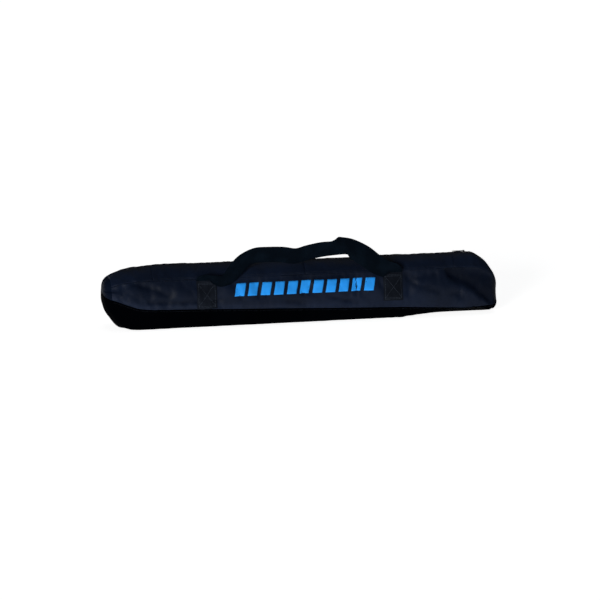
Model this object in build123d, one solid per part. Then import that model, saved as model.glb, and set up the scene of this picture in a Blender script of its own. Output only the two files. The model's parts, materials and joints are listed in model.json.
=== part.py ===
"""A soft bag for short skis: fabric panels, a zip along the top ridge and two webbing carry handles.

Millimetres. X runs along the bag, the printed front faces -Y, and Z is up from the surface that it stands on.
"""

from build123d import *
import math
import os

# Overall shape
LENGTH = 1000.0  # outside, end panel to end panel
BOTTOM_WIDTH = 118.0  # outside, across the bottom seams
TOP_WIDTH = 94.0  # outside, across the top seams
BOTTOM_SEAM_Z = 37.0  # height of the seams between the bottom and the two sides
TOP_SEAM_Z = 120.0  # height of the seams that the top flaps fold about
RIDGE_Z = 148.0  # top face of the flaps beside the zip

# Fabric
FABRIC = 1.2  # thickness of a panel
BOTTOM_RADIUS = 10.0  # where the bottom turns up into its sides
SEAM_GAP = 0.2  # between two panels that a seam joins
FLAP_GAP = 1.8  # between a flap and the panel that it folds on
MOVING_GAP = 0.5  # between a flap's ends and the closed ends of the top
BINDING_WIDTH = 14.0
BINDING = 0.8  # thickness of the seam binding inside
BINDING_DROP = 3.6  # from the top seam to its binding

# Closed ends of the top
RIDGE_END = 58.0  # from the end of the bag to where the ridge starts to drop
DROP_RISE = 3.0  # of the ridge over the top seams where it meets the end panel
CLOSED_ZIP = 60.0  # length of ridge at each end that never opens

# Zip
FLAT_HALF = 16.0  # half the width of the flat strip that carries the zip
FLAP_EDGE = 5.5  # from the middle of the zip to the edge of the flap
TAPE = 0.7
TAPE_WIDTH = 14.0
COIL_WIDTH = 2.6
COIL_HEIGHT = 2.2
HALF_BLOCK = 0.5  # half the length of the block whose end gives the coil's cross-section
ZIP_GAP = 0.1  # half the gap between the two coils
SLIDER_LENGTH = 16.0
SLIDER_WIDTH = 8.6
SLIDER_WALL = 1.2
SLIDER_GAP = 0.4  # between the slider and the zip
SLIDER_PARK = 7.0  # from the stop to the slider
STOP_LENGTH = 4.0
PULL_LENGTH = 30.0
PULL_WIDTH = 7.0
PULL = 1.6  # thickness of the pull
PULL_GAP = 0.4  # between the pull's head and the top of the slider
EYE_GAP = 0.08  # between the pull's eye and the bail
POST_GAP = 0.1  # between the pull and the posts of the bail
POST = 0.6  # thickness of a post
BAIL_RADIUS = 1.0
BAIL_RISE = 2.2  # from the slider's top to the middle of its bail

# Handles
WEBBING_WIDTH = 50.0
WEBBING = 1.8
HANDLE_SPACING = 470.0  # between the middles of the two sewn ends
HANDLE_MIDDLE = -15.0  # the handles sit a little left of the bag's middle
END_HEIGHT = 68.0  # height of a sewn end
END_TOP = 6.0  # from the top of a sewn end to the top seam, along the panel
HINGE_GAP = 1.0  # from the hinge line to a sewn end, and to the loop that folds there
LOOP_GAP = 0.7  # between the stitching and the loop that hangs down over it
LOOP_LEAN = 9.34  # degrees that the standing loop leans away from the bag
LOOP_ROOT = 16.0  # straight part of the loop beside each hinge
LOOP_LEVEL = 53.0  # height over the hinge line of the level part of the standing loop
LOOP_PEAK = 70.0  # and of its peak
LOOP_DEPTH = 62.0  # how far the middle of the hanging loop drops
LEVEL_FROM = -0.54  # ends of the standing loop's level part, as shares of half the spacing
LEVEL_TO = 0.05
PEAK_AT = 0.46
SAG_SHARE = 0.42  # half of the hanging loop's level part, as a share of half the spacing

# Stitching and print
THREAD = 0.5
THREAD_WIDTH = 1.2
EDGE_ROWS = (2.0, 6.0)  # from a flap's edge to its two stitch rows
STITCH_INSET = 4.0
PRINT = 0.3
PRINT_LEFT = -182.0
PRINT_RIGHT = 176.0
PRINT_HEIGHT = 31.0
PRINT_BASE = 38.0  # from the bottom seam to the print, along the panel
PRINT_BLOCKS = 11
PRINT_GAP = 9.0  # between two blocks of the print
PRINT_SLANT = 7.0  # how far the top of a block leans to the right

# Places that follow from the sizes above
HALF = LENGTH / 2
INNER_HALF = HALF - FABRIC - SEAM_GAP  # end of the long panels
LOW_Y = BOTTOM_WIDTH / 2
HIGH_Y = TOP_WIDTH / 2
OPEN_HALF = HALF - RIDGE_END - CLOSED_ZIP  # half the length of the opening
SIDE_LEAN = math.degrees(math.atan2(LOW_Y - HIGH_Y, TOP_SEAM_Z - BOTTOM_SEAM_Z))
SIDE_HEIGHT = math.hypot(LOW_Y - HIGH_Y, TOP_SEAM_Z - BOTTOM_SEAM_Z)
TAPE_TOP = RIDGE_Z - FABRIC  # the tapes lie under the flaps
COIL_TOP = TAPE_TOP + COIL_HEIGHT
DROP_Z = TOP_SEAM_Z + DROP_RISE
OUTWARD = Vector(0, BOTTOM_SEAM_Z - TOP_SEAM_Z, LOW_Y - HIGH_Y).normalized()  # out of the front panel
FRONT = Plane(origin=(0, -LOW_Y, BOTTOM_SEAM_Z), x_dir=(1, 0, 0), z_dir=OUTWARD)  # its Y is up the panel


def along_x(face, start, end):
    """A face drawn across the bag, run along it from start to end."""
    return extrude(Pos(start, 0, 0) * face, amount=end - start, dir=(1, 0, 0))


def strip(points, thickness):
    """The cross-section of a sheet whose outer face passes through the points, drawn in Y and Z."""
    outer = [Vector(0, *p) for p in points]
    normals = []
    for a, b in zip(outer, outer[1:]):
        run = (b - a).normalized()
        normals.append(Vector(0, -run.Z, run.Y))
    inner = []
    for k, p in enumerate(outer):
        before = normals[max(k - 1, 0)]
        after = normals[min(k, len(normals) - 1)]
        inner.append(p - (before + after) * (thickness / (1 + before.dot(after))))
    return make_face(Polyline(*outer, *reversed(inner), close=True))


def on_back(part):
    """The same piece on the other side of the bag."""
    return mirror(part, about=Plane.XZ)


def flap_points(gap):
    """The front flap's outer face, from the top seam up to its edge beside the zip."""
    rise = Vector(0, HIGH_Y - FLAT_HALF, RIDGE_Z - TOP_SEAM_Z).normalized() * gap
    return [(-HIGH_Y + rise.Y, TOP_SEAM_Z + rise.Z), (-FLAT_HALF, RIDGE_Z), (-FLAP_EDGE, RIDGE_Z)]


def bottom_panel():
    outer = FilletPolyline(
        (0, -LOW_Y, BOTTOM_SEAM_Z), (0, -LOW_Y, 0), (0, LOW_Y, 0), (0, LOW_Y, BOTTOM_SEAM_Z), radius=BOTTOM_RADIUS
    )
    inside = LOW_Y - FABRIC
    inner = FilletPolyline(
        (0, inside, BOTTOM_SEAM_Z),
        (0, inside, FABRIC),
        (0, -inside, FABRIC),
        (0, -inside, BOTTOM_SEAM_Z),
        radius=BOTTOM_RADIUS - FABRIC,
    )
    edge_a = Line(outer @ 1, inner @ 0)
    edge_b = Line(inner @ 1, outer @ 0)
    return along_x(make_face(outer + edge_a + inner + edge_b), -INNER_HALF, INNER_HALF)


def side_panel():
    lean = math.radians(SIDE_LEAN)
    low = (-LOW_Y + SEAM_GAP * math.sin(lean), BOTTOM_SEAM_Z + SEAM_GAP * math.cos(lean))
    points = [low, (-HIGH_Y, TOP_SEAM_Z)]
    return along_x(strip(points, FABRIC), -INNER_HALF, INNER_HALF)


def top_flap():
    return along_x(strip(flap_points(FLAP_GAP), FABRIC), -OPEN_HALF, OPEN_HALF)


def end_panel(side):
    outline = Polyline(
        (0, -HIGH_Y, TOP_SEAM_Z),
        (0, -LOW_Y, BOTTOM_SEAM_Z),
        (0, -LOW_Y, 0),
        (0, LOW_Y, 0),
        (0, LOW_Y, BOTTOM_SEAM_Z),
        (0, HIGH_Y, TOP_SEAM_Z),
        (0, 0, DROP_Z),
        close=True,
    )
    start = HALF - FABRIC
    plate = along_x(make_face(outline), start, HALF)
    corners = plate.edges().filter_by(Axis.X).group_by(Axis.Z)[0]
    plate = fillet(corners, BOTTOM_RADIUS)
    return plate if side > 0 else mirror(plate, about=Plane.YZ)


def roof_section(x, ridge, drop):
    """The solid under the top at one place, moved down by drop."""
    points = [
        (x, -HIGH_Y, TOP_SEAM_Z),
        (x, -FLAT_HALF, ridge),
        (x, FLAT_HALF, ridge),
        (x, HIGH_Y, TOP_SEAM_Z),
    ]
    shifted = [Vector(*p) - Vector(0, 0, drop) for p in points]
    return make_face(Polyline(*shifted, close=True))


def top_end(side):
    """The closed end of the top: it follows the flaps, then drops to the end panel, with a slot for the zip."""
    start = OPEN_HALF + MOVING_GAP
    knee = HALF - RIDGE_END
    stop = INNER_HALF
    roof = []
    for drop in (0, FABRIC):
        level = loft([roof_section(start, RIDGE_Z, drop), roof_section(knee, RIDGE_Z, drop)])
        fall = loft([roof_section(knee, RIDGE_Z, drop), roof_section(stop, DROP_Z, drop)])
        roof.append(level + fall)
    base = TOP_SEAM_Z + SEAM_GAP
    above = Pos((start + stop) / 2, 0, base + LENGTH / 2) * Box(stop - start, BOTTOM_WIDTH, LENGTH)
    shell = (roof[0] - roof[1]) & above
    slot_end = knee - STOP_LENGTH
    slot = Pos((start + slot_end) / 2, 0, RIDGE_Z) * Box(slot_end - start + FABRIC, 2 * FLAP_EDGE, 4 * FABRIC)
    shell = shell - slot
    return shell if side > 0 else mirror(shell, about=Plane.YZ)


def zip_tape():
    low = TAPE_TOP - TAPE
    tape = make_face(
        Polyline(
            (0, -ZIP_GAP, TAPE_TOP),
            (0, -ZIP_GAP - TAPE_WIDTH, TAPE_TOP),
            (0, -ZIP_GAP - TAPE_WIDTH, low),
            (0, -ZIP_GAP, low),
            close=True,
        )
    )
    return along_x(tape, -OPEN_HALF, OPEN_HALF)


def coil_section():
    """A coil is rounded on top and flat where it is sewn to its tape."""
    width = COIL_WIDTH
    middle = -ZIP_GAP - width / 2
    block = Pos(0, middle, TAPE_TOP + COIL_HEIGHT / 2) * Box(2 * HALF_BLOCK, width, COIL_HEIGHT)
    block = fillet(block.edges().filter_by(Axis.X).group_by(Axis.Z)[-1], COIL_HEIGHT * 0.4)
    return block.faces().sort_by(Axis.X)[0]


def zip_coil():
    return extrude(Pos(-OPEN_HALF + HALF_BLOCK, 0, 0) * coil_section(), amount=2 * OPEN_HALF, dir=(1, 0, 0))


def zip_end(side):
    """The zip where it never opens: both tapes and both coils, held by the closed end of the top."""
    start = OPEN_HALF + MOVING_GAP
    stop = HALF - RIDGE_END - STOP_LENGTH - SEAM_GAP
    width = 2 * (TAPE_WIDTH + ZIP_GAP)
    tapes = Pos((start + stop) / 2, 0, TAPE_TOP - TAPE / 2) * Box(stop - start, width, TAPE)
    coil = extrude(Pos(start + HALF_BLOCK, 0, 0) * coil_section(), amount=stop - start, dir=(1, 0, 0))
    whole = tapes + coil + on_back(coil)
    return whole if side > 0 else mirror(whole, about=Plane.YZ)


def zip_stop(side):
    """A metal clip over both coils at the end of the zip."""
    middle = side * (HALF - RIDGE_END - STOP_LENGTH * 1.5 - SEAM_GAP)
    inside = 2 * (COIL_WIDTH + ZIP_GAP)
    top = COIL_TOP + SLIDER_WALL
    block = Pos(middle, 0, (TAPE_TOP + top) / 2) * Box(STOP_LENGTH, inside + 2 * SLIDER_WALL, top - TAPE_TOP)
    bore = Pos(middle, 0, (TAPE_TOP + COIL_TOP) / 2) * Box(STOP_LENGTH, inside, COIL_TOP - TAPE_TOP)
    return block - bore


def slider_middle():
    stop_inside = HALF - RIDGE_END - STOP_LENGTH * 2 - SEAM_GAP
    return stop_inside - SLIDER_PARK - SLIDER_LENGTH / 2


def zip_slider():
    """The slider's upper wing with its flanges and bail, and its lower wing under the tapes."""
    middle = slider_middle()
    top = COIL_TOP + SLIDER_GAP + SLIDER_WALL
    floor = TAPE_TOP + SLIDER_GAP
    wing = Pos(middle, 0, (floor + top) / 2) * Box(SLIDER_LENGTH, SLIDER_WIDTH, top - floor)
    wing = fillet(wing.edges().filter_by(Axis.Z), SLIDER_WALL)
    inside = 2 * (COIL_WIDTH + ZIP_GAP + SLIDER_GAP)
    channel = Pos(middle, 0, (floor + COIL_TOP + SLIDER_GAP) / 2)
    channel = channel * Box(SLIDER_LENGTH, inside, COIL_TOP + SLIDER_GAP - floor)
    post_height = BAIL_RISE + BAIL_RADIUS
    posts = []
    for side in (-1, 1):
        y = side * (PULL_WIDTH / 2 + POST_GAP + POST / 2)
        posts.append(Pos(middle, y, top + post_height / 2) * Box(2.4 * BAIL_RADIUS, POST, post_height))
    bail_length = PULL_WIDTH + 2 * POST_GAP + POST
    bail = Pos(middle, 0, top + BAIL_RISE) * Rot(90, 0, 0) * Cylinder(BAIL_RADIUS, bail_length)
    lower = Pos(middle, 0, TAPE_TOP - TAPE - SLIDER_GAP - SLIDER_WALL / 2)
    lower = lower * Box(SLIDER_LENGTH, SLIDER_WIDTH, SLIDER_WALL)
    upper = wing - channel + posts[0] + posts[1] + bail
    return Compound(children=[upper.solid(), lower])


def pull_axis_z():
    return COIL_TOP + SLIDER_GAP + SLIDER_WALL + BAIL_RISE


def zip_pull():
    """A flat tab with a round head that turns on the slider's bail."""
    axis = Pos(slider_middle(), 0, pull_axis_z())
    head = Rot(90, 0, 0) * Cylinder(BAIL_RISE - PULL_GAP, PULL_WIDTH)
    tab = Pos(-PULL_LENGTH / 2, 0, 0) * Box(PULL_LENGTH, PULL_WIDTH, PULL)
    tab = fillet(tab.edges().filter_by(Axis.Z).group_by(Axis.X)[0], PULL_WIDTH * 0.3)
    eye = Rot(90, 0, 0) * Cylinder(BAIL_RADIUS + EYE_GAP, PULL_WIDTH)
    return axis * (tab + head - eye)


def panel_box(width, height, thickness, x, up, out):
    """A plate on the front panel: x along the bag, up the panel from the bottom seam, out from its face."""
    place = Location((x, up + height / 2, out + thickness / 2))
    return FRONT.location * place * Box(width, height, thickness)


def end_middle(side):
    """Where a sewn end stands along the bag."""
    return HANDLE_MIDDLE + side * HANDLE_SPACING / 2


def handle_ends():
    up = SIDE_HEIGHT - END_TOP - END_HEIGHT
    ends = [panel_box(WEBBING_WIDTH, END_HEIGHT, WEBBING, end_middle(side), up, 0) for side in (-1, 1)]
    return Compound(children=ends)


def handle_stitching():
    """A stitched box with a cross on each sewn end."""
    up = SIDE_HEIGHT - END_TOP - END_HEIGHT + STITCH_INSET
    wide = WEBBING_WIDTH - 2 * STITCH_INSET
    tall = END_HEIGHT - 2 * STITCH_INSET
    figures = []
    for side in (-1, 1):
        x = end_middle(side)
        outer = panel_box(wide, tall, THREAD, x, up, WEBBING)
        inner = panel_box(
            wide - 2 * THREAD_WIDTH, tall - 2 * THREAD_WIDTH, THREAD, x, up + THREAD_WIDTH, WEBBING
        )
        slant = math.degrees(math.atan2(tall, wide))
        place = FRONT.location * Location((x, up + tall / 2, WEBBING + THREAD / 2))
        arm = Box(math.hypot(wide, tall) - 2 * THREAD_WIDTH, THREAD_WIDTH, THREAD)
        cross = place * Rot(0, 0, slant) * arm + place * Rot(0, 0, -slant) * arm
        figures.append((outer - inner + cross).solid())
    return Compound(children=figures)


def hinge():
    """The front handle's hinge line: its height up the panel, and how far out of the panel it lies."""
    return SIDE_HEIGHT - END_TOP + HINGE_GAP, WEBBING + (THREAD + LOOP_GAP) / 2


def hinge_point():
    """The same line in Y and Z."""
    up, out = hinge()
    p = FRONT.from_local_coords((0, up, out))
    return p.Y, p.Z


def band(points):
    """A flat strap along straight runs, with round outer corners, cut off at the hinge line."""
    face = Sketch()
    for a, b in zip(points, points[1:]):
        run = Vector(*b) - Vector(*a)
        angle = math.degrees(math.atan2(run.Y, run.X))
        middle = (Vector(*a) + Vector(*b)) * 0.5
        face += Pos(middle) * Rot(0, 0, angle) * Rectangle(run.length, WEBBING_WIDTH)
    for corner in points[1:-1]:
        face += Pos(*corner) * Circle(WEBBING_WIDTH / 2)
    reach = HANDLE_SPACING + 2 * WEBBING_WIDTH
    below = Pos(0, -HINGE_GAP - reach / 2) * Rectangle(2 * reach, reach)
    return face & below


def hanging_loop(points):
    """A loop that hangs against the front panel, a little clear of its sewn ends."""
    up, out = hinge()
    start = out + (THREAD + LOOP_GAP) / 2
    place = FRONT.location * Location((HANDLE_MIDDLE, up, start))
    return extrude(place * band(points), amount=WEBBING)


def front_handle_loop():
    """The standing loop: it rises from the left end, runs level, and peaks before the right end."""
    half = HANDLE_SPACING / 2
    points = [
        (-half, 0),
        (-half, -LOOP_ROOT),
        (half * LEVEL_FROM, -LOOP_LEVEL),
        (half * LEVEL_TO, -LOOP_LEVEL),
        (half * PEAK_AT, -LOOP_PEAK),
        (half, -LOOP_ROOT),
        (half, 0),
    ]
    y, z = hinge_point()
    turn = LOOP_LEAN + SIDE_LEAN - 180
    return hanging_loop(points).rotate(Axis((0, y, z), (1, 0, 0)), turn)


def back_handle_loop():
    """The same strap on the back, hanging down over its sewn ends."""
    half = HANDLE_SPACING / 2
    points = [
        (-half, 0),
        (-half, -LOOP_ROOT),
        (-half * SAG_SHARE, -LOOP_DEPTH),
        (half * SAG_SHARE, -LOOP_DEPTH),
        (half, -LOOP_ROOT),
        (half, 0),
    ]
    return on_back(hanging_loop(points))


def front_print():
    """A row of slanted blocks in place of any mark."""
    pitch = (PRINT_RIGHT - PRINT_LEFT - PRINT_SLANT + PRINT_GAP) / PRINT_BLOCKS
    wide = pitch - PRINT_GAP
    blocks = []
    for k in range(PRINT_BLOCKS):
        left = PRINT_LEFT + k * pitch
        block = Polyline(
            (left, PRINT_BASE),
            (left + wide, PRINT_BASE),
            (left + wide + PRINT_SLANT, PRINT_BASE + PRINT_HEIGHT),
            (left + PRINT_SLANT, PRINT_BASE + PRINT_HEIGHT),
            close=True,
        )
        blocks.append(extrude(FRONT.location * make_face(block), amount=PRINT))
    return Compound(children=blocks)


def bottom_binding():
    """Tape over the seam allowance inside, along the bottom seam."""
    points = [(-LOW_Y + FABRIC, BOTTOM_SEAM_Z - BINDING_WIDTH), (-LOW_Y + FABRIC, BOTTOM_SEAM_Z - SEAM_GAP)]
    return along_x(strip(points, BINDING), -INNER_HALF, INNER_HALF)


def top_binding():
    """Tape inside the top seam, on the side panel so that the flap folds freely over it."""
    lean = math.radians(SIDE_LEAN)
    high = SIDE_HEIGHT - BINDING_DROP
    low = high - BINDING_WIDTH
    points = []
    for up in (low, high):
        y = -LOW_Y + up * math.sin(lean) + FABRIC / math.cos(lean) + SEAM_GAP
        points.append((y, BOTTOM_SEAM_Z + up * math.cos(lean)))
    return along_x(strip(points, BINDING), -INNER_HALF, INNER_HALF)


def end_binding(side):
    """Tape round the end seam inside, along the bottom."""
    width = 2 * (LOW_Y - FABRIC - BOTTOM_RADIUS)
    middle = side * (INNER_HALF - BINDING_WIDTH / 2)
    return Pos(middle, 0, FABRIC + BINDING / 2) * Box(BINDING_WIDTH, width, BINDING)


def flap_stitching():
    """Two stitch rows along the flap's edge, through the tape."""
    rows = []
    for inset in EDGE_ROWS:
        rows.append(Pos(0, -FLAP_EDGE - inset, RIDGE_Z + THREAD / 2) * Box(2 * OPEN_HALF, THREAD_WIDTH, THREAD))
    return Compound(children=rows)


def nodes():
    """Every piece by its name."""
    made = {
        "bottom_panel": bottom_panel(),
        "front_panel": side_panel(),
        "back_panel": on_back(side_panel()),
        "front_top_flap": top_flap(),
        "back_top_flap": on_back(top_flap()),
        "front_zip_tape": zip_tape(),
        "back_zip_tape": on_back(zip_tape()),
        "front_zip_coil": zip_coil(),
        "back_zip_coil": on_back(zip_coil()),
        "front_flap_stitching": flap_stitching(),
        "back_flap_stitching": on_back(flap_stitching()),
        "zip_slider": zip_slider(),
        "zip_pull": zip_pull(),
        "front_handle_loop": front_handle_loop(),
        "front_handle_ends": handle_ends(),
        "front_handle_stitching": handle_stitching(),
        "back_handle_loop": back_handle_loop(),
        "back_handle_ends": on_back(handle_ends()),
        "back_handle_stitching": on_back(handle_stitching()),
        "front_print": front_print(),
        "front_bottom_binding": bottom_binding(),
        "back_bottom_binding": on_back(bottom_binding()),
        "front_top_binding": top_binding(),
        "back_top_binding": on_back(top_binding()),
    }
    for name, side in (("left", -1), ("right", 1)):
        made[name + "_end_panel"] = end_panel(side)
        made[name + "_top_end"] = top_end(side)
        made[name + "_zip_end"] = zip_end(side)
        made[name + "_zip_stop"] = zip_stop(side)
        made[name + "_end_binding"] = end_binding(side)
    return made


def main():
    os.makedirs("parts", exist_ok=True)
    for name, part in nodes().items():
        export_step(part, f"parts/{name}.step")
    y, z = hinge_point()
    print("handle hinge y, z", round(y, 3), round(z, 3))
    print("pull axis x, z", round(slider_middle(), 3), round(pull_axis_z(), 3))
    print("lean of the side panels", round(SIDE_LEAN, 3), "half of the opening", OPEN_HALF)


main()
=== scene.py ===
"""A soft ski bag: sewn fabric panels, a coil zip along the ridge and two webbing handles."""

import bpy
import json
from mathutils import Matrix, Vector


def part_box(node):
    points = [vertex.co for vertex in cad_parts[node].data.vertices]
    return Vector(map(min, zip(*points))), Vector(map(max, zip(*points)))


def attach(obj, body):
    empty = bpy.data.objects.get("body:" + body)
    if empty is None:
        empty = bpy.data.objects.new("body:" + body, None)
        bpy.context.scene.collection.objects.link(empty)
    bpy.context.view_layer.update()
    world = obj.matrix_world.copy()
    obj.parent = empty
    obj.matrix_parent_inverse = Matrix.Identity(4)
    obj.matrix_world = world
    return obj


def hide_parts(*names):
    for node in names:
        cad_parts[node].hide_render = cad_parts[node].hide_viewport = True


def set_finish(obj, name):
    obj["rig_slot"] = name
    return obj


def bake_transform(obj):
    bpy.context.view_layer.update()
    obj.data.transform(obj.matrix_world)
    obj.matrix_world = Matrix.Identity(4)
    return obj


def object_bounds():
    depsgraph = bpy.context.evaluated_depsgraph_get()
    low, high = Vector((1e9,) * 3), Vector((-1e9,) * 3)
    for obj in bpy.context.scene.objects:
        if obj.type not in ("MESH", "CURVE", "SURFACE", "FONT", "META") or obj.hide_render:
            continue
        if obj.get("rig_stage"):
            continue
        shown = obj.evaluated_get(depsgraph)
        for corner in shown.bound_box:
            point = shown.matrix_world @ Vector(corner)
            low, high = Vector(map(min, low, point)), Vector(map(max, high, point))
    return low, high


bl_info = {
    "name": "Soft Ski Bag",
    "version": (1, 0, 0),
    "blender": (4, 5, 0),
    "location": "3D View > Sidebar > Ski Bag",
    "description": "Builds the panels, zip, handles, stitching and print of a soft ski bag",
    "category": "Add Mesh",
}

import json
import math

import bmesh
import bpy
import numpy as np
from bpy.props import FloatProperty, FloatVectorProperty, IntProperty, PointerProperty
from mathutils import Matrix, Vector, noise

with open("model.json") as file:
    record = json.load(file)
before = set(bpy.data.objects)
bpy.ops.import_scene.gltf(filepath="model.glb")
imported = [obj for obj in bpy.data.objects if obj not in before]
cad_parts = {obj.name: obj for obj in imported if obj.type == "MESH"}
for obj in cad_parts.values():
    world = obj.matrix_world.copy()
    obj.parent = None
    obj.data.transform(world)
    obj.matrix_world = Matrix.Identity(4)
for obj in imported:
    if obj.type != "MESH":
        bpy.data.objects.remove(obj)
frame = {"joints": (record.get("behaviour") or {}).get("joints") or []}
CAD_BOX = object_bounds()

MM = 0.001
STATIONS = 160  # spaces along the bag, between the two end seams
END_SEAM = 0.484  # from the middle of the bag to the seam round an end panel
XS = np.linspace(-END_SEAM, END_SEAM, STATIONS + 1)
NEAR_END = 0.40  # from the middle of the bag to where the section starts to narrow
TOP_Y, LOW_Y = 0.047, 0.0595  # half the widths across the top and the bottom seams
SEAM_SINK = 0.9 * MM
STITCH_ROWS = (2 * MM, 6 * MM)  # from a flap's edge
FULL_SHADE_FOLD_DEPTH = 8 * MM  # a fold this deep gets nearly the full painted shade
CLOTH_REACH = 5 * MM  # the most that a point moves as the cloth settles
BINDING = 0.8 * MM
BINDING_END = 0.476  # from the middle of the bag to where the long tapes stop
END_TAPE = (0.455, 0.469)  # from the middle of the bag to the sides of the tape round an end
LOOP_PEAK = 0.108  # along the bag, from the middle of the front handle
BOX_COLUMNS, BOX_ROWS = 15, 20  # points in a sewn end's grid
THREADS = 1250.0  # per metre of the weave
WHITE = (1, 1, 1, 1)
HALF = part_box("right_end_panel")[1].x
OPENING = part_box("front_top_flap")[1].x  # half the length that the zip opens
ZIP_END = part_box("right_zip_end")[1].x
SIDES = (("front", -1), ("back", 1))
ENDS = (("left", -1), ("right", 1))

# Rows of the shell's grid, counted round the section from the front flap's edge to the back one's
FLAP_SHARES = (0, 0.08, 0.16, 0.26, 0.38, 0.5, 0.62, 0.74, 0.85, 0.94, 0.98, 1)
PANEL_SHARES = (0, 0.015, 0.04, 0.1, 0.17, 0.25, 0.33, 0.41, 0.49, 0.57, 0.65, 0.73, 0.8, 0.87, 0.93, 0.97, 0.99, 1)
BAND_SHARES = (0, 0.04, 0.1, 0.2, 0.32, 0.45, 0.58, 0.72, 0.86, 1)
BASE_SHARES = tuple(k / 14 for k in range(15))
EDGE_F = 0
TOP_F = len(FLAP_SHARES) - 1
SEAM_F = TOP_F + len(PANEL_SHARES) - 1
BASE_F = SEAM_F + len(BAND_SHARES) - 1
BASE_B = BASE_F + len(BASE_SHARES) - 1
SEAM_B = BASE_B + len(BAND_SHARES) - 1
TOP_B = SEAM_B + len(PANEL_SHARES) - 1
EDGE_B = TOP_B + len(FLAP_SHARES) - 1


# ---------------------------------------------------------------- settings


def length(name, description, default):
    return FloatProperty(name=name, description=description, default=default, unit="LENGTH")


def colour(name, description, default):
    return FloatVectorProperty(name=name, description=description, default=default, subtype="COLOR", size=3)


class SkiBagPanels(bpy.types.PropertyGroup):
    """Sizes and colours of the fabric panels"""

    thickness: length("Fabric thickness", "Thickness of a panel", 1.2 * MM)
    bulge: length("Bulge", "How far the side panels swell between their seams", 5 * MM)
    slack: FloatProperty(
        name="Slack",
        description="Share by which the cloth is cut larger than its seams",
        default=0.012,
        subtype="FACTOR",
    )
    pressure: FloatProperty(name="Pressure", description="Push of the filling on the cloth", default=0.6)
    frames: IntProperty(name="Settling steps", description="Steps of the cloth settling", default=20, min=1)
    colour: colour("Fabric", "Colour of the panels", (0.0022, 0.0044, 0.0112))
    # painted shade: near-black, far darker than the panels, so that the bottom band that faces down stays dark
    base_shade_colour: colour("Base fabric", "Colour of the bottom panel", (0.0002, 0.0003, 0.0006))
    binding: colour("Binding", "Colour of the tape over the seams inside", (0.007, 0.007, 0.008))


class SkiBagZip(bpy.types.PropertyGroup):
    """Sizes and colours of the zip"""

    tooth_pitch: length("Coil pitch", "From one turn of the coil to the next", 1.6 * MM)
    tape: colour("Tape", "Colour of the zip tape", (0.006, 0.006, 0.008))
    coil: colour("Coil", "Colour of the coil", (0.012, 0.012, 0.013))
    metal: colour("Slider", "Colour of the painted metal", (0.03, 0.031, 0.034))


class SkiBagHandles(bpy.types.PropertyGroup):
    """Sizes and colours of the two carry handles"""

    width: length("Webbing width", "Width of the webbing", 50 * MM)
    thickness: length("Webbing thickness", "Thickness of the webbing", 1.8 * MM)
    colour: colour("Webbing", "Colour of the webbing", (0.0010, 0.0021, 0.0038))
    # painted light: the sewn ends are a lighter copy of the webbing, for the light on their flat faces
    lit_sewn_colour: colour("Sewn ends", "Colour of the worn webbing that is sewn down", (0.0036, 0.0046, 0.0070))


class SkiBagDetails(bpy.types.PropertyGroup):
    """Sizes and colours of the stitching and the print"""

    stitch: length("Stitch", "Length of one stitch", 3.0 * MM)
    stitch_pitch: length("Stitch pitch", "From one stitch to the next", 3.8 * MM)
    thread_radius: length("Thread radius", "Half the thickness of the thread", 0.32 * MM)
    blocks: IntProperty(name="Blocks", description="Number of blocks in the print", default=11, min=1)
    thread: colour("Thread", "Colour of the thread", (0.008, 0.010, 0.014))
    ink: colour("Print", "Colour of the print", (0.02, 0.27, 0.78))


class SkiBagStage(bpy.types.PropertyGroup):
    """The camera and the light"""

    azimuth: FloatProperty(
        name="Azimuth",
        description="Camera's turn from straight in front",
        default=math.radians(-13.5),
        subtype="ANGLE",
    )
    elevation: FloatProperty(
        name="Elevation",
        description="Camera's height over the floor",
        default=math.radians(11.2),
        subtype="ANGLE",
    )
    distance: length("Distance", "From the camera to the bag", 7.0)
    lens: FloatProperty(name="Lens", description="Focal length in millimetres", default=169.3, unit="CAMERA")
    aim: FloatVectorProperty(
        name="Aim",
        description="Point that the camera looks at",
        subtype="TRANSLATION",
        size=3,
        default=(-0.003, 0.0, 0.046),
    )
    floor: colour("Floor", "Colour of the floor", (0.9, 0.9, 0.9))
    glow: FloatProperty(name="Floor glow", description="Light that the floor gives off", default=0.85)
    sky: FloatProperty(name="Sky", description="Strength of the even light", default=0.08)
    key: FloatProperty(name="Key", description="Strength of the main light", default=2.5)
    fill: FloatProperty(name="Fill", description="Strength of the light from above", default=0.16)


# ---------------------------------------------------------------- materials


def set_sockets(made, values):
    for name, value in values.items():
        made.inputs[name].default_value = value


def node(tree, kind, sockets=None, **values):
    """A new shader node with its input sockets and its named properties set."""
    made = tree.nodes.new("ShaderNode" + kind)
    for name, value in values.items():
        setattr(made, name, value)
    set_sockets(made, sockets or {})
    return made


def wire(tree, source, target):
    tree.links.new(source, target)


def arithmetic(tree, operation, a, b=None, c=None):
    """A Math node whose inputs are sockets or numbers."""
    made = node(tree, "Math", operation=operation)
    for k, value in enumerate((a, b, c)):
        if value is None:
            continue
        if isinstance(value, (int, float)):
            made.inputs[k].default_value = value
        else:
            wire(tree, value, made.inputs[k])
    return made.outputs[0]


def group_tree(name, inputs, outputs):
    """An empty shader node group with named sockets, and whether it has still to be filled."""
    found = bpy.data.node_groups.get(name)
    if found:
        return found, False
    tree = bpy.data.node_groups.new(name, "ShaderNodeTree")
    for socket, kind, default in inputs:
        made = tree.interface.new_socket(name=socket, in_out="INPUT", socket_type=kind)
        if default is not None:
            made.default_value = default
    for socket, kind in outputs:
        tree.interface.new_socket(name=socket, in_out="OUTPUT", socket_type=kind)
    tree.nodes.new("NodeGroupInput")
    tree.nodes.new("NodeGroupOutput")
    return tree, True


def ends_of(tree):
    start = next(n for n in tree.nodes if n.bl_idname == "NodeGroupInput")
    stop = next(n for n in tree.nodes if n.bl_idname == "NodeGroupOutput")
    return start, stop


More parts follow.
